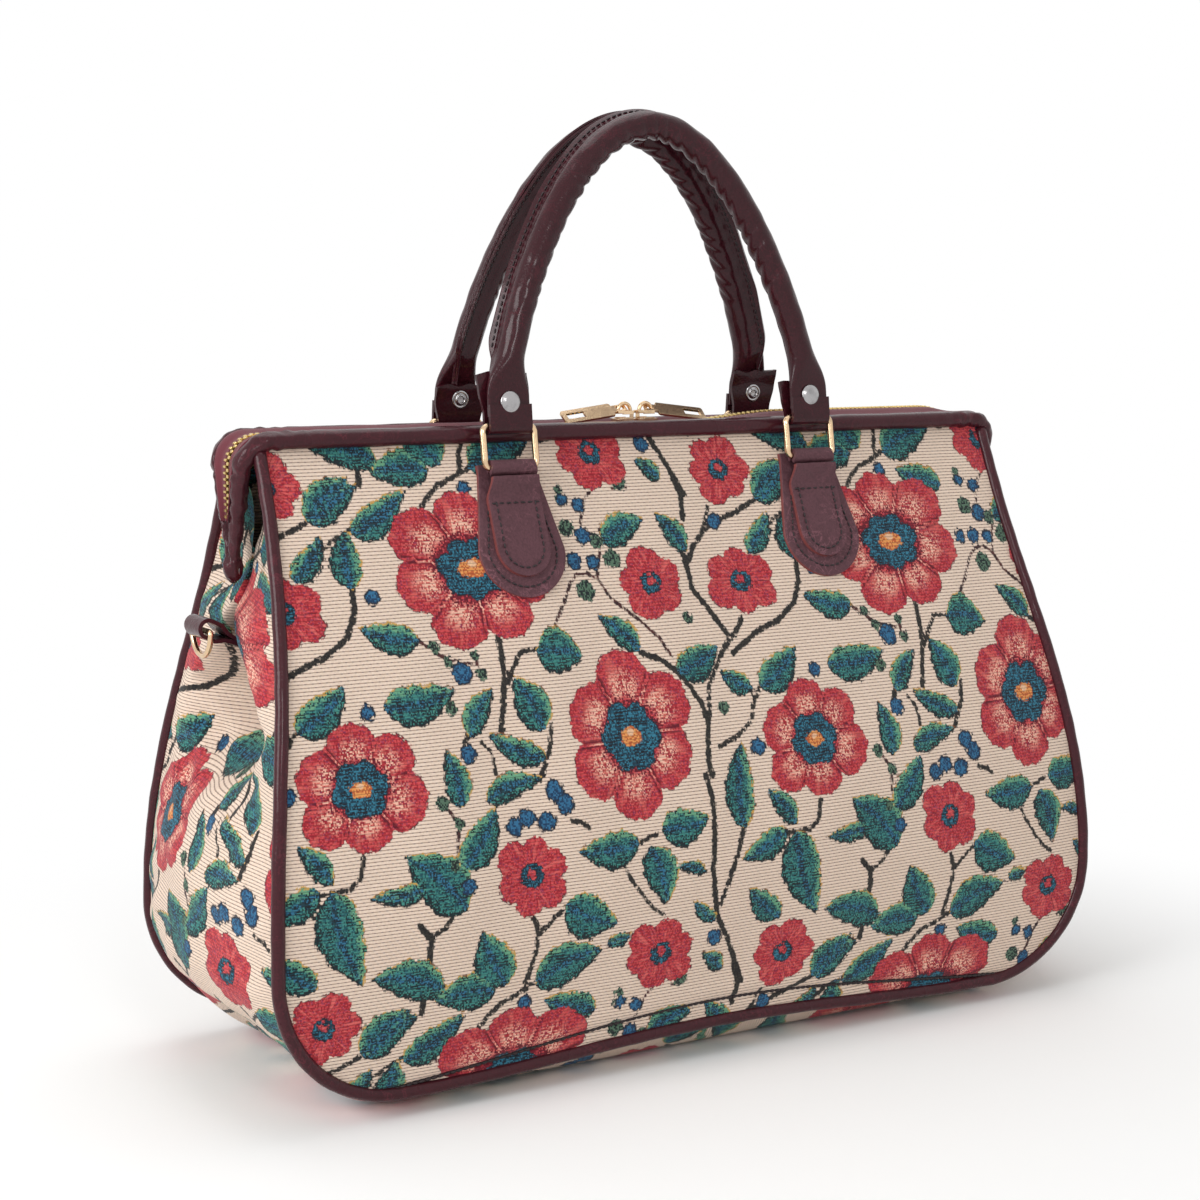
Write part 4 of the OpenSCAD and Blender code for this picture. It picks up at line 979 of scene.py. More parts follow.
def makeRail(name, node, back):
    path = evenPath(onFrame(railPath(rail["stop"])), rail["step"])
    a = fullTurn(rail["sides"])
    x = np.abs(path[:, 0])[:, None]
    corner = np.exp(-((x - bag["legX"] + 6) / 22) ** 2)
    run = (np.arange(len(path)) * rail["step"])[:, None]
    fromEnd = np.minimum(run, run[-1] - run)
    r = rail["endRadius"] + (rail["radius"] - rail["endRadius"]) * smooth(0, rail["endRun"], fromEnd)
    folds = ripple(run, a[None] * 5, 31, 9) + 0.7 * ripple(run, a[None] * 2, 33, 5)
    r = r + rail["crumple"] * corner * folds
    r = r + 0.10 * ripple(run, a[None] * 2, 35, 26)
    # a sewn lip where the rail leather meets the zip tape
    lipAt = np.angle(np.exp(1j * (a[None] - math.radians(rail["lipAngle"]))))
    live = smooth(2, 14, fromEnd)
    groove = 0.45 * np.exp(-((lipAt + 0.42) / 0.16) ** 2)
    r = r + live * (rail["lip"] * np.exp(-(lipAt / 0.22) ** 2) - groove)
    # the leather is wrapped round the hinge; each rail carries one end's wrap
    end = 1 if back else -1
    turn = np.linspace(0.02, math.pi - 0.02, rail["wrapRows"])
    around = fullTurn(rail["wrapCols"])
    size = rail["wrapR"] * (1 + 0.06 * ripple(turn[:, None] * 4, around[None] * 3, 37, 3))
    lump = np.stack([end * bag["legX"] + 0.82 * size * np.sin(turn)[:, None] * np.cos(around),
                     0.86 * size * np.sin(turn)[:, None] * np.sin(around),
                     bag["hingeZ"] + 1.0 - 1.25 * size * np.cos(turn)[:, None] + 0 * around], -1)
    points, faces = joinParts([sweep(path, aroundAxis(r, a), (0, 1, 0)),
                               (lump, tubeFaces(rail["wrapRows"], rail["wrapCols"]))])
    points = points * [1, -1 if back else 1, 1]
    piece = makeObject(name, points, faces, trimLeather, closed=True)
    return dress(piece, node, "bag")


makeRail("front_rail_leather", "front_rail_cover", False)
makeRail("back_rail_leather", "back_rail_cover", True)
print("rails made")


# geometry node trees for what repeats

def socketOf(tree, name):
    return next(i.identifier for i in tree.interface.items_tree
                if i.item_type == "SOCKET" and i.in_out == "INPUT" and i.name == name)


# a tree from its inputs, its nodes (kind, settings, values) and the links between their sockets
def buildTree(title, inputs, nodes, links):
    tree = bpy.data.node_groups.new(title, "GeometryNodeTree")
    for name, kind in inputs.items():
        tree.interface.new_socket(name=name, in_out="INPUT", socket_type="NodeSocket" + kind)
    tree.interface.new_socket(name="Result", in_out="OUTPUT", socket_type="NodeSocketGeometry")
    made = {}
    for key, (kind, settings, values) in nodes.items():
        made[key] = tree.nodes.new(kind)
        for name, value in settings.items():
            setattr(made[key], name, value)
        for name, value in values.items():
            made[key].inputs[name].default_value = value
    for source, output, target, entry in links:
        tree.links.new(made[source].outputs[output], made[target].inputs[entry])
    return tree


# both trees set a shape on points, make it real and paint it
settingNodes = dict(given=("NodeGroupInput", {}, {}), shape=("GeometryNodeObjectInfo", {}, {}),
                    up=("GeometryNodeInputNamedAttribute", {"data_type": "FLOAT_VECTOR"}, {"Name": "up"}),
                    instance=("GeometryNodeInstanceOnPoints", {}, {}),
                    real=("GeometryNodeRealizeInstances", {}, {}), paint=("GeometryNodeSetMaterial", {}, {}),
                    result=("NodeGroupOutput", {}, {}))
settingLinks = [("given", "Shape", "shape", "Object"), ("shape", "Geometry", "instance", "Instance"),
                ("instance", "Instances", "real", "Geometry"), ("real", "Geometry", "paint", "Geometry"),
                ("given", "Finish", "paint", "Material"), ("paint", "Geometry", "result", "Result")]
alignKind = "FunctionNodeAlignRotationToVector"

# along a path at an even pitch, turned a little by chance: stitches and zip teeth
alongPath = buildTree(
    "set along path",
    {"Path": "Geometry", "Shape": "Object", "Pitch": "Float", "Uneven": "Float", "Finish": "Material"},
    dict(settingNodes, curve=("GeometryNodeMeshToCurve", {}, {}),
         points=("GeometryNodeCurveToPoints", {"mode": "LENGTH"}, {}),
         alignX=(alignKind, {"axis": "X"}, {}), alignZ=(alignKind, {"axis": "Z", "pivot_axis": "X"}, {}),
         minus=("ShaderNodeMath", {"operation": "MULTIPLY"}, {1: -1.0}),
         chance=("FunctionNodeRandomValue", {"data_type": "FLOAT"}, {"Seed": 4}),
         turn=("FunctionNodeAxisAngleToRotation", {}, {"Axis": (0, 0, 1)}),
         local=("FunctionNodeRotateRotation", {"rotation_space": "LOCAL"}, {})),
    settingLinks + [("given", "Path", "curve", "Mesh"), ("curve", "Curve", "points", "Curve"),
                    ("given", "Pitch", "points", "Length"), ("points", "Points", "instance", "Points"),
                    ("points", "Tangent", "alignX", "Vector"), ("alignX", "Rotation", "alignZ", "Rotation"),
                    ("up", "Attribute", "alignZ", "Vector"), ("given", "Uneven", "minus", 0),
                    ("minus", 0, "chance", 2), ("given", "Uneven", "chance", 3),
                    ("chance", 1, "turn", "Angle"), ("alignZ", "Rotation", "local", "Rotation"),
                    ("turn", "Rotation", "local", "Rotate By"), ("local", "Rotation", "instance", "Rotation")])

# on loose points, each with its own facing: rivets
onPoints = buildTree(
    "set on points", {"Points": "Geometry", "Shape": "Object", "Finish": "Material"},
    dict(settingNodes, align=(alignKind, {"axis": "Z"}, {})),
    settingLinks + [("given", "Points", "instance", "Points"), ("up", "Attribute", "align", "Vector"),
                    ("align", "Rotation", "instance", "Rotation")])


# a loose shape for the trees, in millimetres
def toolShape(name, points, faces):
    mesh = bpy.data.meshes.new(name)
    mesh.from_pydata((np.asarray(points, float) * mm).tolist(), [], [list(map(int, f)) for f in faces])
    mesh.validate()
    shape = bmesh.new()
    shape.from_mesh(mesh)
    bmesh.ops.recalc_face_normals(shape, faces=shape.faces)
    shape.to_mesh(mesh)
    shape.free()
    mesh.shade_smooth()
    return bpy.data.objects.new(name, mesh)


# runs: a list of (points, up direction or one per point), each a thread or chain line
def runTree(name, tree, runs, inputs, material, body, smoothAngle=None):
    points, edges, ups, start = [], [], [], 0
    for path, up in runs:
        path = np.asarray(path, float)
        points.append(path)
        ups.append(np.broadcast_to(np.asarray(up, float), path.shape))
        if tree is alongPath:
            edges += [(start + k, start + k + 1) for k in range(len(path) - 1)]
        start += len(path)
    mesh = bpy.data.meshes.new(name + "_path")
    mesh.from_pydata((np.concatenate(points) * mm).tolist(), edges, [])
    facing = mesh.attributes.new("up", "FLOAT_VECTOR", "POINT")
    facing.data.foreach_set("vector", np.concatenate(ups).astype(np.float32).ravel())
    holder = bpy.data.objects.new(name + "_path", mesh)
    scene.collection.objects.link(holder)
    modifier = holder.modifiers.new("set", "NODES")
    modifier.node_group = tree
    for key, value in {**inputs, "Finish": material}.items():
        modifier[socketOf(tree, key)] = value
    bpy.context.view_layer.update()
    deps = bpy.context.evaluated_depsgraph_get()
    made = bpy.data.meshes.new_from_object(holder.evaluated_get(deps))
    holder.modifiers.remove(modifier)
    bpy.data.objects.remove(holder)
    made.name = name
    made.shade_smooth()
    if smoothAngle:
        made.set_sharp_from_angle(angle=math.radians(smoothAngle))
    piece = bpy.data.objects.new(name, made)
    scene.collection.objects.link(piece)
    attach(piece, body)
    return piece


# dark thread along lines, each with its up direction
def sew(name, runs, shape, pitch, uneven, body):
    inputs = {"Shape": shape, "Pitch": pitch * mm, "Uneven": uneven}
    piece = runTree(name, alongPath, runs, inputs, thread, body)


def capsule(name, length, radius, lift):
    t = np.array([-1, -0.86, -0.5, 0, 0.5, 0.86, 1])
    size = np.array([0.25, 0.7, 0.96, 1.06, 0.96, 0.7, 0.25])
    path = np.stack([t * length / 2, np.zeros(7), lift - 0.5 * radius * t ** 2], -1)
    points, faces = sweep(path, size[:, None, None] * roundSection(radius, 6), (0, 1, 0))
    return toolShape(name, points, faces)


stitchShape = capsule("stitch", 2.3, 0.42, 0.12)
print("node trees built")


# zip: tape, teeth, sliders and pullers

zipper = dict(rise=5.5, endZ=242.0, pitch=2.6, chainWidth=5.2, slit=1.0, toothHeight=2.0, tapeFlat=6.0,
              flatShare=0.35, tapeT=0.8, tapeRows=300, tapeCols=16, tapeCloth=14.0, pullZ=285.0,
              pullRoll=38.0, pullDroop=7.0, pullX=5.6, sink=4.0, riseRight=4.0, climb=(20, 80),
              fall=(184, 164))
zipLeg = bag["railZ"] - bag["bendR"] - zipper["endZ"]
zipBend = math.pi / 2 * (bag["bendR"] + zipper["rise"])
zipLength = 2 * (zipLeg + zipBend) + 2 * (bag["legX"] - bag["bendR"])


# the closed chain lies low between the rails and stands higher on the right
def zipSink(run):
    x = run - zipLength / 2
    return zipper["sink"] - zipper["riseRight"] * smooth(*zipper["climb"], x) * smooth(*zipper["fall"], x)


# place of the chain at a run along it, n above the rail axes
def zipAt(run, n):
    run = np.asarray(run, float)
    left = np.minimum(run, zipLength - run)
    n = n - zipSink(run)
    a = np.clip((left - zipLeg) / zipBend, 0, 1) * math.pi / 2
    flatRun = np.maximum(0, left - zipLeg - zipBend)
    x = -bag["legX"] + bag["bendR"] - (bag["bendR"] + n) * np.cos(a) + flatRun
    bendZ = bag["railZ"] - bag["bendR"] + (bag["bendR"] + n) * np.sin(a)
    z = np.where(left < zipLeg, zipper["endZ"] + left, bendZ)
    return np.where(run <= zipLength / 2, x, -x), z


def makeTape(name, node, back):
    run = np.linspace(0, zipLength, zipper["tapeRows"])
    axisZ = zipAt(run, zipSink(run))[1]
    axisY = bag["railY"] * (axisZ - bag["hingeZ"]) / (bag["railZ"] - bag["hingeZ"])
    seat = bag["railR"] - 0.4
    inner = np.full_like(run, zipper["chainWidth"] / 2 - 0.5)
    middle = np.minimum(zipper["tapeFlat"], np.maximum(axisY * 0.5, inner + 0.15))
    outer = np.maximum(axisY - 2.5, inner + 0.4)
    q, share = np.linspace(0, 1, zipper["tapeCols"]), zipper["flatShare"]
    y = np.where(q < share, inner[:, None] + (middle - inner)[:, None] * q / share,
                 middle[:, None] + (outer - middle)[:, None] * (q - share) / (1 - share))
    # flat beside the chain, then down to its seat on the rail
    lift = zipper["rise"] + (seat - zipper["rise"] + zipSink(run)[:, None]) * smooth(0.3, 1.0, q)
    lift = lift + 0.35 * np.sin(math.pi * q) * smooth(0.2, 0.9, q)
    lift = lift + 0.16 * ripple(run[:, None], q[None] * 9, 41, 22) * q
    layers = []
    for face in (0.5, -0.5):
        x, z = zipAt(run[:, None], lift + face * zipper["tapeT"])
        layers.append(np.stack([x, -y, z], -1))
    ring, faces = closedShell(*layers)
    s, t = np.meshgrid(run, zipper["tapeCloth"] * np.concatenate([q, q[::-1]]), indexing="ij")
    points = ring.reshape(-1, 3) * [1, -1 if back else 1, 1]
    piece = makeObject(name, points, faces, tapeCloth,
                       {"cloth": np.stack([s.ravel(), t.ravel(), np.zeros(s.size)], -1)}, closed=True)
    return dress(piece, node, "bag")


frontTape = makeTape("front_tape", "front_zip_tape", False)
backTape = makeTape("back_tape", "back_zip_tape", True)


def toothShape():
    # long along Y, with a round nose towards the middle of the chain
    half = [(0.72, 0.0), (0.72, 1.5), (0.5, 1.75), (0.62, 2.3)]
    outline = [(-x, y) for x, y in half] + half[::-1]
    tall = zipper["toothHeight"] / 2
    low = [(x, y, -tall) for x, y in outline]
    top = [(x, y, tall * 0.75) for x, y in outline]
    crown = [(x * 0.6, 0.15 + y * 0.88, tall * 1.05) for x, y in outline]
    count = len(outline)
    faces = [list(range(count))[::-1], list(range(2 * count, 3 * count))]
    for k in range(count):
        j = (k + 1) % count
        faces += [[k, j, count + j, count + k], [count + k, count + j, 2 * count + j, 2 * count + k]]
    return toolShape("zip_tooth", low + top + crown, faces)


def makeTeeth(name, node, back):
    # the tooth's Y runs from the slit out to the tape
    start = zipper["pitch"] * (0.75 if back else 0.25)
    run = np.arange(start, zipLength - 1, zipper["pitch"] / 4)
    x, z = zipAt(run, zipper["rise"])
    x2, z2 = zipAt(run, zipper["rise"] + 1)
    up = np.stack([x2 - x, np.zeros_like(x), z2 - z], -1)
    side = -1 if back else 1
    path = np.stack([x, np.full_like(x, side * -zipper["slit"] / 2), z], -1)
    if not back:
        path, up = path[::-1], up[::-1]
    inputs = {"Shape": tooth, "Pitch": zipper["pitch"] * mm, "Uneven": 0.0}
    piece = runTree(name, alongPath, [(path, up)], inputs, brass, "bag", 35)
    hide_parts(node)
    return piece


tooth = toothShape()
frontTeeth = makeTeeth("front_teeth", "front_zip_teeth", False)
backTeeth = makeTeeth("back_teeth", "back_zip_teeth", True)
print("zip made:", len(frontTeeth.data.polygons), "tooth faces a row")


# a carried-over solid with softened edges
def softenNode(node, body, material, width, roll=0.0, droop=0.0, pivot=0.0):
    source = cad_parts[node]
    mesh = source.data.copy()
    piece = bpy.data.objects.new(node + "_soft", mesh)
    scene.collection.objects.link(piece)
    shape = bmesh.new()
    shape.from_mesh(mesh)
    bmesh.ops.remove_doubles(shape, verts=shape.verts, dist=1e-6)
    bmesh.ops.dissolve_limit(shape, angle_limit=math.radians(1), verts=shape.verts, edges=shape.edges)
    for angle, axis, x in ((roll, "X", 0), (droop, "Y", pivot)):
        bmesh.ops.rotate(shape, cent=(x * mm, 0, zipper["pullZ"] * mm), verts=shape.verts,
                         matrix=Matrix.Rotation(math.radians(angle), 3, axis))
    shape.to_mesh(mesh)
    shape.free()
    mesh.materials.clear()
    mesh.materials.append(material)
    bevel = piece.modifiers.new("soft edges", "BEVEL")
    bevel.width, bevel.segments = width * mm, 2
    bevel.limit_method, bevel.angle_limit = "ANGLE", math.radians(40)
    mesh.shade_smooth()
    mesh.set_sharp_from_angle(angle=math.radians(35))
    bpy.context.view_layer.update()
    deps = bpy.context.evaluated_depsgraph_get()
    made = bpy.data.meshes.new_from_object(piece.evaluated_get(deps))
    piece.modifiers.clear()
    piece.data = made
    return dress(piece, node, body)


for side, sign in (("left", -1), ("right", 1)):
    softenNode(side + "_slider", side + "_slider", gold, 0.22)
    softenNode(side + "_puller", side + "_puller", gold, 0.2, zipper["pullRoll"],
               sign * zipper["pullDroop"], sign * zipper["pullX"])
print("sliders and pullers softened")


# handles: a gathered tube, its sewn outer edge, folded strap ends and rivets

# pairs are runs from the handle's end over which a form fades in
handle = dict(half=79.0, y=25.0, barZ=280.0, lean=5.5, archLow=16.0, archTop=131.8, archPower=1.6,
              archSpread=0.75, flatRun=(9, 28), gatherRun=(34, 80), edgeRun=(12, 34), edgeStart=13.0,
              edgeRoot=4.4, edgeSwell=2.2, threadStart=30.0, threadReach=8.6, neck=3.9, step=1.1, tubeR=6.2,
              sides=40, gatherPitch=7.6, gatherDepth=1.5, strapWidth=20.0, strapT=5.6, loopR=3.7, layer=1.75,
              edgeReach=10.8, edgeT=2.6, edgeAngle=-45.0, rivetH=10.0,
              flapTop=dict(front=(23.0, 16.5), back=(16.5, 20.5)))


# local places: x across, y towards the other handle, h up from the ring bar; the whole handle leans inwards
def onHandle(points, side):
    x, y, h = np.moveaxis(np.asarray(points, float), -1, 0)
    lean = math.radians(handle["lean"])
    sign = 1 if side == "back" else -1
    return np.stack([x, sign * (handle["y"] - y * math.cos(lean) - h * math.sin(lean)),
                     handle["barZ"] + h * math.cos(lean) - y * math.sin(lean)], -1)


def handleWay(direction, side):
    return onHandle(np.array([direction], float), side)[0] - onHandle(np.zeros((1, 3)), side)[0]


def handlePath():
    a = math.pi / 2 * np.linspace(0, 1, 160) ** handle["archSpread"]
    rise = handle["archLow"] + (handle["archTop"] - handle["archLow"]) * np.sin(a) ** handle["archPower"]
    leg = np.stack([-handle["half"] * np.cos(a), np.zeros_like(a), rise], -1)
    foot = np.array([[-handle["half"], 0, handle["neck"]]])
    path = evenPath(mirrored(np.concatenate([foot, leg])), handle["step"])
    for _ in range(12):
        path[1:-1] = 0.5 * path[1:-1] + 0.25 * (path[2:] + path[:-2])
    return path


# a strap folded round the ring bar, its cut end behind the handle
def strapFold(end, top):
    width = np.linspace(-1, 1, 15)
    turn = np.linspace(0, math.pi, 15)
    thick = handle["layer"]
    radius = (handle["loopR"] + thick) / 2 + 0.15
    under = np.stack([-radius * np.cos(turn), -radius * np.sin(turn)], -1)
    front = np.stack([np.full(4, -radius), np.linspace(9, 0.6, 4)], -1)
    rise = np.linspace(0.6, top, 24)
    flap = np.stack([radius + 0.5 * smooth(top - 7, top, rise), rise], -1)
    line = np.concatenate([front, under, flap])
    tang = unitRows(np.gradient(line, axis=0))
    norm = np.stack([tang[:, 1], -tang[:, 0]], -1)
    run = np.concatenate([[0], np.cumsum(np.linalg.norm(np.diff(line, axis=0), axis=1))])
    last = run[-1]
    halfWide = 10.2 + 2.0 * smooth(last - 18, last - 7, run)
    x = width[None] * halfWide[:, None]
    shell = []
    for face in (0.5, -0.5):
        yh = line + face * thick * norm
        flare = 0.9 * smooth(last - 8, last, run)[:, None] * np.abs(width)[None] ** 3
        ragged = 0.7 * smooth(last - 3, last, run)[:, None] * np.sin(width * 7 + end)[None]
        shell.append(np.stack([end * handle["half"] + x, yh[:, :1] + flare, yh[:, 1:] + ragged], -1))
    return closedShell(*shell)


def makeHandle(side):
    back = side == "back"
    path = handlePath()
    count = len(path)
    run = np.concatenate([[0], np.cumsum(np.linalg.norm(np.diff(path, axis=0), axis=1))])
    total = run[-1]
    fromEnd = np.minimum(run, total - run)
    flat = 1 - smooth(*handle["flatRun"], fromEnd)
    a = (np.arange(handle["sides"]) + 0.5) * 2 * math.pi / handle["sides"]
    edgeTurn = math.radians(handle["edgeAngle"])
    # gathers stand on the inner side and die out down the legs
    inner = ((1 - np.cos(a)) / 2) ** 1.4
    where = smooth(*handle["gatherRun"], fromEnd)[:, None]
    pick = np.random.default_rng(17 if back else 16)
    pitch = handle["gatherPitch"]
    knots = np.cumsum(pitch * pick.uniform(0.75, 1.3, int(total / pitch) + 12)) - 20
    phase = np.interp(run[:, None] + 6.0 * np.sin(a)[None] + 1.2 * ripple(run[:, None], a[None] * 4, 51, 30),
                      knots, np.arange(len(knots)))
    fold = np.abs(np.sin(math.pi * phase))
    depth = handle["gatherDepth"] * (0.8 + 0.3 * ripple(run, run * 0, 53, 40))[:, None]
    dent = where * inner[None] * depth * (fold ** 0.7 - 0.6)
    slack = 0.1 * ripple(run[:, None], a[None] * 6, 55, 18) + 0.07 * ripple(run[:, None], a[None] * 9, 57, 9)
    off = np.angle(np.exp(1j * (a - edgeTurn)))
    r = handle["tubeR"] + dent + slack * (1 - flat)[:, None]
    r = r + handle["edgeSwell"] * np.exp(-(off / 0.3) ** 2)[None]
    tubeX, tubeY = r * np.cos(a), r * np.sin(a)
    strapX = handle["strapWidth"] / 2 * np.sign(np.cos(a)) * np.abs(np.cos(a)) ** 0.35
    half = handle["strapT"] / 4 - 0.08
    strapY = half * np.sign(np.sin(a)) * np.abs(np.sin(a)) ** 0.35 + half + 0.1
    w = flat[:, None]
    section = np.stack([tubeX * (1 - w) + strapX * w, tubeY * (1 - w) + strapY * w], -1)
    ahead = unitRows(np.gradient(path, axis=0))
    away = np.stack([-ahead[:, 2], np.zeros(count), ahead[:, 0]], -1)
    parts = [sweep(path, section, away)]
    # the two layers of the sewn edge, with a groove between them
    live = smooth(*handle["edgeRun"], fromEnd)
    skip = int(handle["edgeStart"] / handle["step"])
    keep = slice(skip, count - skip)
    for layer in (-1, 1):
        reach = (handle["edgeReach"] + 0.25 * ripple(run, run * 0, 61 + layer, 24))[keep]
        base = np.array([(0, 0.08), (1, 0.08), (1, 0.85), (0.93, 1), (0, 1)])
        root = handle["edgeRoot"]
        along = root + (reach - root)[:, None] * base[None, :, 0] * live[keep][:, None]
        across = layer * handle["edgeT"] / 2 * base[None, :, 1] + 0 * along
        lip = np.stack([along * math.cos(edgeTurn) - across * math.sin(edgeTurn),
                        along * math.sin(edgeTurn) + across * math.cos(edgeTurn)], -1)
        parts.append(sweep(path[keep], lip, away[keep]))
    for end, top in zip((-1, 1), handle["flapTop"][side]):
        parts.append(strapFold(end, top))
    points, faces = joinParts(parts)
    piece = makeObject(side + "_handle_leather", onHandle(points, side), faces, handleLeather, closed=True,
                       sharp=55)
    dress(piece, side + "_handle", side + "_handle")
    # thread on both faces of the sewn edge
    skip = int(handle["threadStart"] / handle["step"])
    mid = slice(skip, count - skip)
    runs = []
    front = np.array([0, -1.0, 0])
    for face in (-1, 1):
        along, across = handle["threadReach"], face * (handle["edgeT"] / 2 + 0.08)
        line = path + away * (along * math.cos(edgeTurn) - across * math.sin(edgeTurn))
        line = line + front * (along * math.sin(edgeTurn) + across * math.cos(edgeTurn))
        up = face * (-away * math.sin(edgeTurn) + front * math.cos(edgeTurn))
        runs.append((onHandle(line[mid], side), np.array([handleWay(k, side) for k in up[mid]])))
    sew(side + "_handle_stitches", runs, stitchShape, 3.1, 0.05, side + "_handle")


for side in ("front", "back"):
    makeHandle(side)
print("handles made")


rivet = dict(capD=9.4, socketD=8.2, socketHole=3.4)


def lathe(profile, count=40):
    r, h = np.asarray(profile, float).T[..., None]
    a = fullTurn(count)
    points = np.stack([r * np.cos(a), r * np.sin(a), h + 0 * a], -1)
    return points.reshape(-1, 3), tubeFaces(len(profile), count)


def rivetShapes():
    r = rivet["capD"] / 2
    cap = [(r - 0.3, 0.0), (r, 0.25), (r, 0.55), (r - 0.3, 0.9), (r - 0.8, 1.1), (r - 1.4, 1.5),
           (r * 0.5, 1.8), (0.05, 1.9)]
    s, hole = rivet["socketD"] / 2, rivet["socketHole"] / 2
    socket = [(s, 0.0), (s, 0.35), (s - 0.3, 0.6), (s - 0.8, 0.65), (s - 1.1, 0.45), (hole + 1.0, 0.45),
              (hole + 0.7, 0.8), (hole + 0.4, 1.15), (hole + 0.1, 1.2), (hole - 0.1, 1.0), (hole - 0.3, 0.3),
              (0.05, 0.25)]
    return toolShape("rivet_cap", *lathe(cap)), toolShape("rivet_socket", *lathe(socket))


capShape, socketShape = rivetShapes()
for side in ("front", "back"):
    seat = handle["strapT"] / 2 + 0.1
    behind = (handle["loopR"] + handle["layer"]) / 2 + handle["layer"] / 2 + 0.1
    for name, shape, y, way in (("_rivet_caps", capShape, -seat, -1),
                                ("_rivet_sockets", socketShape, behind, 1)):
        places = onHandle([[e * handle["half"], y, handle["rivetH"]] for e in (-1, 1)], side)
        runs = [(places, handleWay((0, way, 0), side))]
        runTree(side + name, onPoints, runs, {"Shape": shape}, silver, side + "_handle", 50)
    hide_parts(side + "_handle_rivets")
print("rivets set")


# wire rings

ring = dict(width=25.0, wireR=1.5, corner=3.2, lowY=27.8533, lowZ=262.0, topY=25.0, topZ=280.0, step=0.8,
            sides=14)


def makeRing(side, hand):
    sign, flip = (-1 if side == "front" else 1), (-1 if hand == "left" else 1)
    tall = math.hypot(ring["lowY"] - ring["topY"], ring["topZ"] - ring["lowZ"])
    w, h, c = ring["width"] / 2, tall / 2, ring["corner"]
    corners = []
    for cx, cz, start in ((w - c, h - c, 0), (-w + c, h - c, 90),
                          (-w + c, -h + c, 180), (w - c, -h + c, 270)):
        a = np.radians(start + np.linspace(0, 90, 9))
        corners.append(np.stack([cx + c * np.cos(a), cz + c * np.sin(a)], -1))
    loop = np.concatenate(corners)
    lean = (ring["lowY"] - ring["topY"]) / tall
    up = (ring["topZ"] - ring["lowZ"]) / tall
    y = -(ring["lowY"] - (loop[:, 1] + h) * lean)
    z = ring["lowZ"] + (loop[:, 1] + h) * up
    path = evenPath(np.stack([loop[:, 0] + flip * handle["half"], y, z], -1), ring["step"], True)
    points, faces = sweep(path, roundSection(ring["wireR"], ring["sides"]), (0, 1, lean), closed=True)
    points = points * [1, -sign, 1]
    piece = makeObject(side + "_" + hand + "_wire_ring", points, faces, gold, closed=True)
    return dress(piece, side + "_" + hand + "_ring", side + "_rings")


for side in ("front", "back"):
    for hand in ("left", "right"):
        makeRing(side, hand)
print("rings made")


# leather patches with their straps

patch = dict(width=42.0, length=57.0, top=3.0, neck=28.6, t=1.8, strapWidth=26.0, strapLength=48.0,
             loopWidth=20.8, loopR=3.6, barOff=6.0, gap=0.3, strapTop=-4.5, strapT=2.07, threadTop=-15.5,
             threadInset=4.6, strapInset=3.6, crossV=-15.2, crossHalf=10.4, threadLift=0.12)
slopeTilt = math.atan(slope)
barFootZ = ring["lowZ"] - patch["barOff"] * math.sin(slopeTilt)


# patch frame: x across, v up the slope, w away from the cloth
def onPatch(points, side, hand):
    x, v, w = np.moveaxis(np.asarray(points, float), -1, 0)
    sign, flip = (-1 if side == "front" else 1), (-1 if hand == "left" else 1)
    foot = float(depthAt(barFootZ)) + bag["clothT"] / 2
    y = foot - v * math.sin(slopeTilt) + w * math.cos(slopeTilt)
    z = barFootZ + v * math.cos(slopeTilt) + w * math.sin(slopeTilt)
    return np.stack([x + flip * handle["half"], sign * y, z], -1)


# half width of a tongue with a round end, at a height v from the bar
def roundEnd(half, length, v):
    return np.sqrt(np.clip(half * half - np.clip(half - length - v, 0, half) ** 2, 0, None))


# heights of a tongue's rows, closer together round its end
def tongueRows(top, half, length, count):
    end = half - length
    bow = np.sin(np.linspace(0, math.pi / 2, 26))
    return np.concatenate([np.linspace(top, end, count)[:-1], end - (half - 0.02) * bow])


def patchHalf(v):
    w, l = patch["width"] / 2, patch["length"]
    neck = patch["neck"] / 2 + (w - patch["neck"] / 2) * np.clip(-v / (l - w), 0, 1)
    return np.minimum(roundEnd(w, l, v), neck)


def strapHalf(v):
    w, l = patch["strapWidth"] / 2, patch["strapLength"]
    neck = patch["loopWidth"] / 2 + 0.9 + (w - patch["loopWidth"] / 2 - 0.9) * smooth(-3, -15, v)
    return np.minimum(roundEnd(w, l, v), neck)


# a leather plate from rows of half widths, with a rounded cut edge and slight waves
def leatherPlate(v, half, low, thick, seed):
    c = np.concatenate([[-1], np.linspace(-0.97, 0.97, 25), [1]])
    x = half[:, None] * c[None]
    edge = np.clip((1 - np.abs(c)) / 0.03, 0, 1)[None] * 0.35 + 0.65
    calm = np.clip((1 - np.abs(c)) * 4, 0, 1)
    y = v[:, None] + 0 * x
    wave = 0.14 * ripple(x, y, seed, 15) * calm
    # slanting creases where the leather is pulled up to the ring
    pulled = smooth(-20, -8, v)[:, None] * calm
    crease = np.sin((x * 0.8 + y) * 2 * math.pi / 6.5 + seed) * (0.6 + 0.4 * ripple(x, y, seed + 9, 12))
    wave = wave + 0.3 * pulled * crease
    return closedShell(np.stack([x, y, low + thick * edge + wave], -1), np.stack([x, y, low + 0 * x], -1))


# 1 at the cut edge of a plate
def rimOf(rows):
    line = np.zeros(27)
    line[[0, -1]] = 1
    return np.tile(np.concatenate([line, line]), rows)


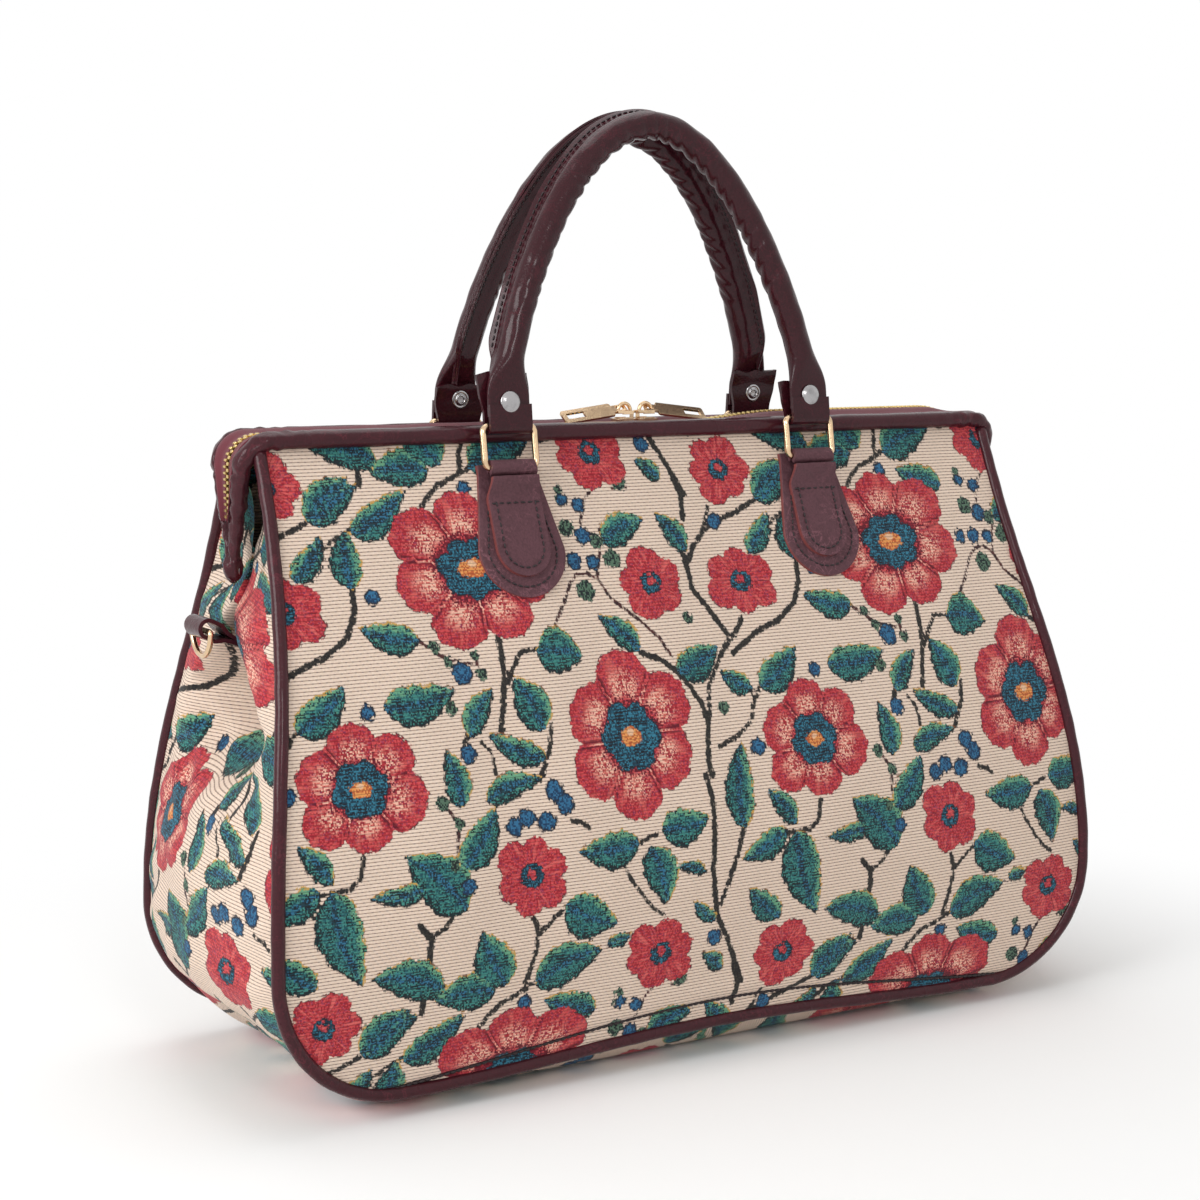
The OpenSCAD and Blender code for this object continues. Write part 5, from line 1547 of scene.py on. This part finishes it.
def tongueLine(halfOf, half, length, top, inset, lift, step=0.6):
    # down one side, round the end and up the other, at an inset from the edge
    r = half - inset
    a = np.linspace(0, math.pi, 40)
    centre = half - length
    v = np.linspace(top, centre, 12)[:-1]
    side = np.stack([inset - halfOf(v), v], -1)
    end = np.stack([-r * np.cos(a), centre - r * np.sin(a)], -1)
    line = np.concatenate([side, end, side[::-1] * [-1, 1]])
    return evenPath(np.concatenate([line, np.full((len(line), 1), lift)], 1), step)


def makePatch(side, hand):
    tag = side + "_" + hand
    seed = 71 + 3 * (side == "back") + 5 * (hand == "right")
    half, strapWide, t = patch["width"] / 2, patch["strapWidth"] / 2, patch["t"]
    low = patch["gap"] * 0.4
    face, strapT = low + t, patch["strapT"]

    def leather(name, points, faces, rim, node):
        piece = makeObject(name, onPatch(points, side, hand), faces, patchLeather, {"rim": rim}, closed=True,
                           sharp=50)
        dress(piece, node, "bag")

    v = tongueRows(patch["top"], half, patch["length"], 46)
    plate = leatherPlate(v, patchHalf(v), low, t, seed)
    leather(tag + "_patch_leather", *plate, rimOf(len(v)), tag + "_patch")
    # strap: tongue on the patch, rising to the loop round the bar
    v = tongueRows(patch["strapTop"], strapWide, patch["strapLength"], 40)
    tongue = leatherPlate(v, strapHalf(v), face, strapT, seed + 1)
    lift = patch["barOff"] + patch["loopR"] - face - t * 1.3
    tongue[0][..., 2] += lift * smooth(-13, patch["strapTop"], tongue[0][..., 1])
    turn = np.radians(np.linspace(-75, 205, 34))
    x = (patch["loopWidth"] / 2 + 0.9 * smooth(0.4, -1.2, turn))[:, None] * np.linspace(-1, 1, 17)[None]
    shell = []
    for r in (patch["loopR"] + 0.05, patch["loopR"] - t):
        shell.append(np.stack([x, r * np.sin(turn)[:, None] + 0 * x,
                               patch["barOff"] + r * np.cos(turn)[:, None] + 0 * x], -1))
    loop = closedShell(*shell)
    rim = np.concatenate([rimOf(len(v)), np.zeros(loop[0].size // 3)])
    leather(tag + "_strap_leather", *joinParts([tongue, loop]), rim, tag + "_patch_strap")
    # thread: round the patch, round the strap and straight across below the loop
    up = onPatch([[0, 0, 1.0]], side, hand)[0] - onPatch([[0, 0, 0.0]], side, hand)[0]
    onFace, onStrap = face + patch["threadLift"], face + strapT + patch["threadLift"]
    lines = [tongueLine(patchHalf, half, patch["length"], patch["threadTop"], patch["threadInset"], onFace),
             tongueLine(strapHalf, strapWide, patch["strapLength"], patch["threadTop"], patch["strapInset"],
                        onStrap)]
    x = np.linspace(-1, 1, 40) * patch["crossHalf"]
    lines.append(np.stack([x, 0 * x + patch["crossV"], 0 * x + onStrap], -1))
    runs = [(onPatch(line, side, hand), up) for line in lines]
    sew(tag + "_patch_stitches", runs, stitchShape, 3.0, 0.08, "bag")


for side in ("front", "back"):
    for hand in ("left", "right"):
        makePatch(side, hand)
print("patches made")


# side tabs and D-rings

tab = dict(rootX=167.9, rootZ=178.0, length=38.0, loopLength=14.0, loopD=9.0, width=17.0, rise=26.0, t=1.8)
dRing = dict(x=210.595, z=197.673, r=11.0, wireR=1.25, sides=12)


def makeTab(hand):
    flip = -1 if hand == "left" else 1
    mid = (tab["loopD"] - tab["t"]) / 2
    a1 = np.radians(np.linspace(-90, 90, 14))
    far = tab["length"] + tab["loopLength"] - tab["loopD"] / 2
    near = tab["length"] + tab["loopD"] / 2
    # out along the lower layer, round the loop and back along the upper one
    low = [(0, -tab["t"] / 2), (near - 7, -tab["t"] / 2), (near - 3.5, -tab["t"] * 0.9), (near, -mid)]
    high = [(near, mid), (near - 3.5, tab["t"] * 0.9), (near - 7, tab["t"] / 2), (0, tab["t"] / 2)]
    line = np.array(low + [(far + mid * math.cos(k), mid * math.sin(k)) for k in a1] + high)
    line = evenPath(np.concatenate([line, np.zeros((len(line), 1))], 1), 0.9)[:, :2]
    tang = unitRows(np.gradient(line, axis=0))
    norm = np.stack([-tang[:, 1], tang[:, 0]], -1)
    c = np.linspace(-1, 1, 15)
    shell = []
    for face in (0.47, -0.47):
        q = line + face * tab["t"] * norm
        y = tab["width"] / 2 * (0.86 + 0.14 * smooth(0, 20, line[:, :1])) * c[None]
        shell.append(np.stack([q[:, :1] + 0 * y, y, q[:, 1:] + 0.12 * ripple(q[:, :1], y, 81, 14)], -1))
    loop, faces = closedShell(*shell)
    p = loop.reshape(-1, 3)
    rise = math.radians(tab["rise"])
    x = tab["rootX"] + p[:, 0] * math.cos(rise) - p[:, 2] * math.sin(rise)
    z = tab["rootZ"] + p[:, 0] * math.sin(rise) + p[:, 2] * math.cos(rise)
    piece = makeObject(hand + "_tab_leather", np.stack([flip * x, p[:, 1], z], -1), faces, trimLeather,
                       closed=True, sharp=50)
    dress(piece, hand + "_side_tab", "bag")
    a = np.linspace(0, math.pi, 30)
    bow = np.stack([np.zeros(30), dRing["r"] * np.cos(a), -dRing["r"] * np.sin(a)], -1)
    bar = np.stack([np.zeros(12), np.linspace(-dRing["r"], dRing["r"], 12), np.zeros(12)], -1)
    path = evenPath(np.concatenate([bow, bar[1:-1]]), 0.8, True)
    for _ in range(3):
        path = 0.5 * path + 0.25 * (np.roll(path, 1, 0) + np.roll(path, -1, 0))
    path = path + [flip * dRing["x"], 0, dRing["z"]]
    points, faces = sweep(path, roundSection(dRing["wireR"], dRing["sides"]), (1, 0, 0), closed=True)
    wire = makeObject(hand + "_strap_ring", points, faces, gold, closed=True)
    dress(wire, hand + "_d_ring", hand + "_d_ring")


for hand in ("left", "right"):
    makeTab(hand)
print("tabs made")


# sewn tuck line above the bottom piping

def sewTuck():
    x = np.linspace(-1, 1, 420) * panel["threadHalf"]
    z = tuckHeight(x)
    out = depthAt(z) + swellAt(z, x / (halfAt(z) - 1)) + panel["edgePuff"] * 0.55 - panel["tuckDepth"] + 0.7
    runs = [(np.stack([x, sign * out, z], -1), (0, sign, 0)) for sign in (-1, 1)]
    sew("tuck_stitches", runs, capsule("tuck_stitch", 3.1, 0.85, 0.0), 2.9, 0.04, "bag")


sewTuck()
print("tuck sewn")


# finishes on the solids that stay

for node, material in (("base_board", board), ("front_frame_wire", steel), ("back_frame_wire", steel),
                       ("frame_hinge_pins", steel)):
    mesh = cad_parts[node].data
    mesh.materials.clear()
    mesh.materials.append(material)
